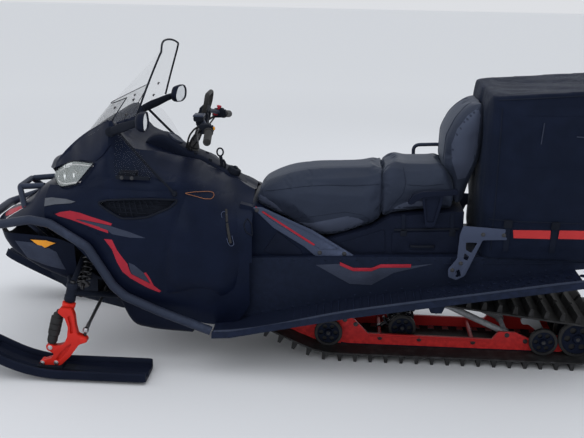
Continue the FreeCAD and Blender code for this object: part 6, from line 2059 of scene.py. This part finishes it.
# %% Brackets with their holes, spacers and bolts
BRACKET = [(-790, 716), (-990, 707), (-988, 658), (-880, 653), (-812, 480), (-774, 458), (-738, 472),
           (-735, 508), (-772, 560), (-777, 674)]
BRACKET_HOLES = ([(-806, 640), (-858, 640), (-834, 590), (-808, 604)],
                 [(-804, 590), (-826, 572), (-818, 552), (-800, 562)],
                 [(-768, 500), (-786, 512), (-796, 478), (-772, 470)])
bracket = plate(rounded(BRACKET, 8.0), 299, 307, holes=[rounded(h, 7.0) for h in BRACKET_HOLES], bevel=1.8)
spacers = [round_bar(mm(x, 266, z), mm(x, 300, z), 11) for x, z in ((-766, 488), (-786, 520))]
both("bracket_plate", joined(bracket, *spacers), grey_paint, "cargo_brackets", stands=True)
bracket_bolts = [mm(x, 307, z) for x, z in ((-754, 506), (-880, 680), (-972, 680), (-790, 540))]
both("bracket_bolts", bolts(bracket_bolts, (0, 1, 0), 6.5, 5.0), dark_bolt, "cargo_brackets")
print("brackets done")

# %% [markdown]
# The tunnel and boards keep their own solids. What is laid on them is the grey blade with its red
# line, the rivets along the seams, and the boards' ribs and collared holes.

# %% Tunnel trims and rivets
BLADE = [(-132, 493), (-292, 406), (-393, 405), (-492, 468), (-670, 519), (-570, 505), (-430, 501),
         (-390, 480), (-305, 477), (-243, 503)]
both("tunnel_blade", plate(BLADE, 265, 268.5, bevel=0.8), grey_trim, "tunnel")
RED_LINE = ((-243, 504), (-305, 478), (-390, 481), (-430, 500), (-570, 506))
band = [(x, z + 8) for x, z in RED_LINE] + [(x, z - 8) for x, z in reversed(RED_LINE)]
both("tunnel_line", plate(band, 267.5, 270.0, bevel=0.6), red_trim, "tunnel")


def tunnel_height(x):
    """Height of the tunnel's upper edge, which climbs 84 mm over its 1984 mm."""
    return 506 + (424 - x) * 84 / 1984


BOARD_LINE = ((-1560, 545), (-1314, 514), (-868, 436), (-296, 332), (248, 212), (330, 206))
board_height = smooth_curve(BOARD_LINE)
rivets = []
for k in range(27):
    x = 330 - 72 * k
    for z in (tunnel_height(x) - 12, board_height(x) + 14):
        if z < tunnel_height(x) - 4:
            rivets.append(turned(mm(x, 265, z), mm(x, 268.6, z), ((0, 5), (0.5, 5), (1, 2.5)), 8))
both("tunnel_rivets", joined(*rivets), sheet_paint, "tunnel")
ribs = []
for x in (-720, -900, -1080, -1260):
    outline = [(u, tunnel_height(u) - drop) for u, drop in ((x, 30), (x - 150, 30), (x - 150, 38), (x, 38))]
    ribs.append(plate(rounded(outline, 3.5), 265.5, 270, bevel=1.5))
both("tunnel_ribs", joined(*ribs), sheet_paint, "tunnel")
CASTING = [(343, 387), (320, 408), (293, 400), (272, 372), (266, 329), (287, 301), (323, 305), (345, 339)]
casting = joined(plate(rounded(CASTING, 14.0), 262, 300, bevel=5.0, segments=3),
                 turned(mm(305, 296, 352), mm(305, 318, 352), ((0, 34), (0.4, 30), (0.5, 24), (1, 20)), 28))
both("drive_casting", casting, cast_metal, "tunnel")
DRIVE_BOLTS = ((333, 382), (300, 396), (276, 366), (274, 326), (292, 306), (330, 318))
drive_bolts = bolts([mm(x, 300, z) for x, z in DRIVE_BOLTS], (0, 1, 0), 5.0, 5.0)
both("drive_bolts", drive_bolts, bright_bolt, "tunnel")
print("rivets a side", len(rivets))


# %% Running boards
def on_board(x, y, lift):
    return mm(x, y, board_height(x) + lift)


strips = [swept([on_board(x, 278, 3), on_board(x, 430, 3)], 3.5, 6) for x in range(-40, -620, -34)]
COLLAR = ((0, 15), (0.8, 15), (1.0, 13), (1.0, 9), (0.3, 8))
collars = []
for k in range(14):
    for y in (308, 352, 396):
        x = -660 - 58 * k - (29 if y == 352 else 0)
        top = on_board(x, y, 4)
        collars.append(turned(on_board(x, y, -1), top, COLLAR, 12))
both("board_strips", joined(*strips), sheet_paint, "running_boards")
both("board_collars", joined(*collars), sheet_paint, "running_boards")
edge = [on_board(x, 444, 10) for x in range(320, -1500, -60)]
both("board_bead", swept(edge, 7.0, 10), tube_paint, "running_boards")
print("board strips", len(strips), "collars", len(collars))

# %% [markdown]
# ## Wheels, arms and dampers inside the track
#
# Each idler is a tyre round a disc with six holes. The suspension's arms are tubes with cast ends.
# The lugged track keeps its own solid, with steel clips added between its windows.

# %% Idler wheels
def wheel_forms(x, z, radius, y, sign):
    """Tyre and disc of one wheel whose outer face looks along sign."""
    low = mm(x, y - 12, z)
    high = mm(x, y + 12, z)
    profile = ((0, 14), (0.02, 3), (0.12, 0), (0.88, 0), (0.98, 3), (1, 14), (0.8, 15), (0.2, 15))
    tyre = turned(low, high, [(share, radius - inward) for share, inward in profile], 40)
    holes = [circle(u, w, radius * 0.17, 14) for u, w in circle(x, z, radius * 0.52, 6)]
    disc = plate(circle(x, z, radius - 13, 36), y - 4, y + 4, holes=holes)
    cone = ((0, radius * 0.3), (0.5, radius * 0.27), (1, radius * 0.2))
    nave = turned(mm(x, y, z), mm(x, y + sign * 15, z), cone, 20)
    return tyre, joined(disc, nave)


IDLERS = ((-199, 120, 67.5, (176,)), (-560, 114.5, 67.5, (70,)), (-1225, 114.5, 67.5, (176,)),
          (-1384, 138, 91, (70, 176)))
tyres = []
discs = []
for x, z, radius, ys in IDLERS:
    for y in ys:
        for sign in (1, -1):
            tyre, disc = wheel_forms(x, z, radius, y * sign, sign)
            tyres.append(tyre)
            discs.append(disc)
piece("idler_tyres", joined(*tyres), grip_rubber, "idler_wheels", stands=True)
piece("idler_discs", joined(*discs), grained_black, "idler_wheels")
axles = [round_bar(mm(x, -max(ys) - 16, z), mm(x, max(ys) + 16, z), 9) for x, z, radius, ys in IDLERS]
piece("idler_axles", joined(*axles), bare_steel, "idler_wheels")
ends = [mm(x, max(ys) + 15, z) for x, z, radius, ys in IDLERS]
both("axle_bolts", bolts(ends, (0, 1, 0), 6.5, 6.0), dark_bolt, "idler_wheels")
print("wheels", len(tyres))

# %% Suspension arms and dampers
arm_forms = []
cast_forms = []
for top, low in (((60, 300), (-277, 165)), ((-700, 282), (-1060, 120))):
    for (x, z), half in ((top, 261), (low, 122)):
        arm_forms.append(round_bar(mm(x, -half, z), mm(x, half, z), 12, 18))
    for side in (1, -1):
        a = mm(top[0], side * 95, top[1])
        b = mm(low[0], side * 95, low[1])
        arm_forms.append(turned(a, b, ((0, 14), (0.5, 16), (1, 14)), 18))
        for p, r in ((a, 21), (b, 20)):
            boss = ((0, r * 0.8), (0.1, r), (0.9, r), (1, r * 0.8))
            cast_forms.append(turned(p - mm(0, 20, 0), p + mm(0, 20, 0), boss, 20))
        cast_forms.append(turned(a + (b - a) * 0.06, a + (b - a) * 0.2, ((0, 19), (1, 16.5)), 18))
    gusset = [(low[0] + along, low[1] + up) for along, up in ((96, 32), (84, 50), (6, 17), (8, -4))]
    for y in (-86, 80):
        cast_forms.append(plate(rounded(gusset, 5.0), y, y + 6, bevel=1.5))
piece("skid_arm_tubes", joined(*arm_forms), casting_grey, "skid_arms", stands=True)
piece("skid_arm_castings", joined(*cast_forms), casting_grey, "skid_arms")
COUPLER = [(-1122, 192), (-1148, 238), (-1172, 250), (-1190, 240), (-1230, 165), (-1262, 128),
           (-1250, 116), (-1210, 140), (-1160, 176), (-1136, 172)]
both("coupler_casting", plate(rounded(COUPLER, 10.0), 100, 116, bevel=4.0), casting_grey, "skid_arms")
bodies = []
springs = []
for low, high in (((-150, 110), (60, 300)), ((-450, 84), (-700, 282))):
    body, spring = shock(mm(low[0], 0, low[1]), mm(high[0], 0, high[1]), 33, 5.5, 8)
    bodies.append(body)
    springs.append(spring)
piece("skid_dampers", joined(*bodies), dark_bolt, "skid_shocks", stands=True)
piece("skid_springs", joined(*springs), spring_paint, "skid_shocks")
print("arms done")

# %% Rail shoes, rail bolts and rail ribs
SHOE = [(-262, 54), (-300, 50), (-1300, 50), (-1300, 44), (-262, 47)]
both("rail_shoe", plate(SHOE, 122, 138), grained_black, "slide_rails")
RAIL_BOLTS = ((75, 188), (-150, 110), (-450, 84), (-900, 80), (-330, 150), (-277, 172), (-1060, 124),
              (-640, 84), (-1150, 96), (-30, 150))
rail_bolts = bolts([mm(x, 137, z) for x, z in RAIL_BOLTS], (0, 1, 0), 8.0, 6.0)
both("rail_bolts", rail_bolts, dark_bolt, "slide_rails")
rib = plate(rounded([(-400, 96), (-980, 92), (-980, 85), (-400, 88)], 3.0), 136.5, 141, bevel=1.5)
both("rail_rib", rib, rail_red_paint, "slide_rails")
print("rails done")

# %% Steel clips along the track's lower run
TRACK_PITCH = 73.3
clips = []
for k in range(15):
    x = -280 - TRACK_PITCH * k
    for y in (-103, 103):
        clips.append(plate([(x - 16, 46), (x + 16, 46), (x + 12, 49.5), (x - 12, 49.5)], y - 16, y + 16))
piece("track_clips", joined(*clips), bare_steel, "track")
print("clips", len(clips))

# %% [markdown]
# ## Tail and lamps
#
# The tail is finished from the type: a tube loop with a tow plate, a red lamp across the tunnel's
# end and a rubber flap with stiffening ribs.

# %% Rear bumper, hitch, flap and lamps
LOOP = ((-1440, 279, 566), (-1604, 279, 576), (-1622, 190, 600), (-1622, -190, 600), (-1604, -279, 576),
        (-1440, -279, 566))
FOOT = ((0, 15), (0.8, 15), (1, 11))
feet = [turned(mm(-1470, s * 266, 568), mm(-1470, s * 296, 568), FOOT, 18) for s in (1, -1)]
piece("rear_loop", joined(pipe(LOOP, 13.0, 50.0, 18), *feet), tube_paint, "rear_bumper",
      stands=True)
tongue = plate(rounded([(-1616, -24), (-1566, -24), (-1566, 24), (-1616, 24)], 12.0), 592, 608,
               holes=(circle(-1590, 0, 8),), bevel=2.0, axis="z")
piece("tow_plate", tongue, dark_bolt, "rear_bumper")
FLAP = [(-1561, 545), (-1568, 545), (-1568, 500), (-1619, 292), (-1612, 290), (-1561, 498)]
flap_ribs = [pipe(((-1570, y, 500), (-1596, y, 396), (-1618, y, 304)), 5.0, 10.0, 8)
             for y in (-180, -90, 0, 90, 180)]
piece("flap_sheet", joined(plate(FLAP, -234, 234, bevel=1.5), *flap_ribs), flap_rubber, "snow_flap",
      stands=True)
LAMP = [(-70, 549), (70, 549), (70, 583), (-70, 583)]
LAMP_RIM = [(-73, 546), (73, 546), (73, 586), (-73, 586)]
lamp = plate(rounded(LAMP, 10.0), -1574, -1560, bevel=3.0, axis="x")
piece("tail_lamp", lamp, red_trim, "marker_lamps", stands=True)
lamp_rim = swept([mm(-1572, y, z) for y, z in rounded(LAMP_RIM, 12.0)], 3.0, 8,
                 closed=True)
piece("tail_lamp_rim", lamp_rim, soft_black, "marker_lamps")
both("side_reflector", draped(REFLECTOR, lower_tree, lift=4.5, rim=3.0, roll=1.5), amber_lens, "marker_lamps")
print("tail done")

# %% Engine block's ribs, behind the intake
FIN = [(480, -185), (770, -185), (770, 185), (480, 185)]
fins = [plate(FIN, z, z + 6, axis="z") for z in (400, 450, 500, 550, 600)]
block = rounded([(484, -180), (766, -180), (766, 180), (484, 180)], 30.0)
fins.append(plate(block, 300, 686, bevel=6.0, axis="z"))
piece("engine_block", joined(*fins), cast_metal, "engine", stands=True)
print("rear done")

# %% [markdown]
# ## Finishes for the solids that stay
#
# What no piece above stands for keeps its own solid, and only gets its finish.

# %% Finishes by node
NODE_FINISH = {
    "track": track_rubber, "idler_wheels": grip_rubber, "drive_axle": bare_steel,
    "slide_rails": rail_red_paint, "skid_arms": casting_grey, "skid_shocks": spring_paint,
    "tunnel": sheet_paint, "running_boards": sheet_paint, "engine": cast_metal,
    "front_frame": frame_paint, "front_arms": frame_paint, "front_shocks": spring_paint,
    "ski_left": grained_black, "ski_right": grained_black,
    "spindle_left": spindle_red_paint, "spindle_right": spindle_red_paint,
    "spindle_damper_left": spring_paint, "spindle_damper_right": spring_paint,
    "tie_rod_left": bare_steel, "tie_rod_right": bare_steel,
    "front_bumper": tube_paint, "lower_bumper": tube_paint, "side_rails": tube_paint,
    "hood": gloss_black, "headlights": lens_clear, "nose_deck": gloss_black,
    "lower_nose": grained_black, "side_panels": gloss_black, "belly_pan": grained_black,
    "windscreen": screen_clear, "mirrors": grained_black, "deflectors": screen_clear,
    "console": grained_black, "tank_cover": gloss_black, "seat_base": grained_black,
    "rider_seat": seat_dark, "passenger_seat": seat_dark, "backrest": seat_dark,
    "passenger_handles": soft_black, "side_braces": grey_paint, "cargo_brackets": grey_paint,
    "cargo_bag": bag_cloth, "rear_bumper": tube_paint, "marker_lamps": amber_lens,
    "snow_flap": flap_rubber, "steering_post": dark_bolt, "handlebar": tube_paint,
    "grips": grip_rubber, "controls": soft_black,
}
for node_name, finish in NODE_FINISH.items():
    mesh = nodes[node_name].data
    mesh.materials.clear()
    mesh.materials.append(finish)
    for face in mesh.polygons:
        face.material_index = 0
print("finished nodes", len(NODE_FINISH))
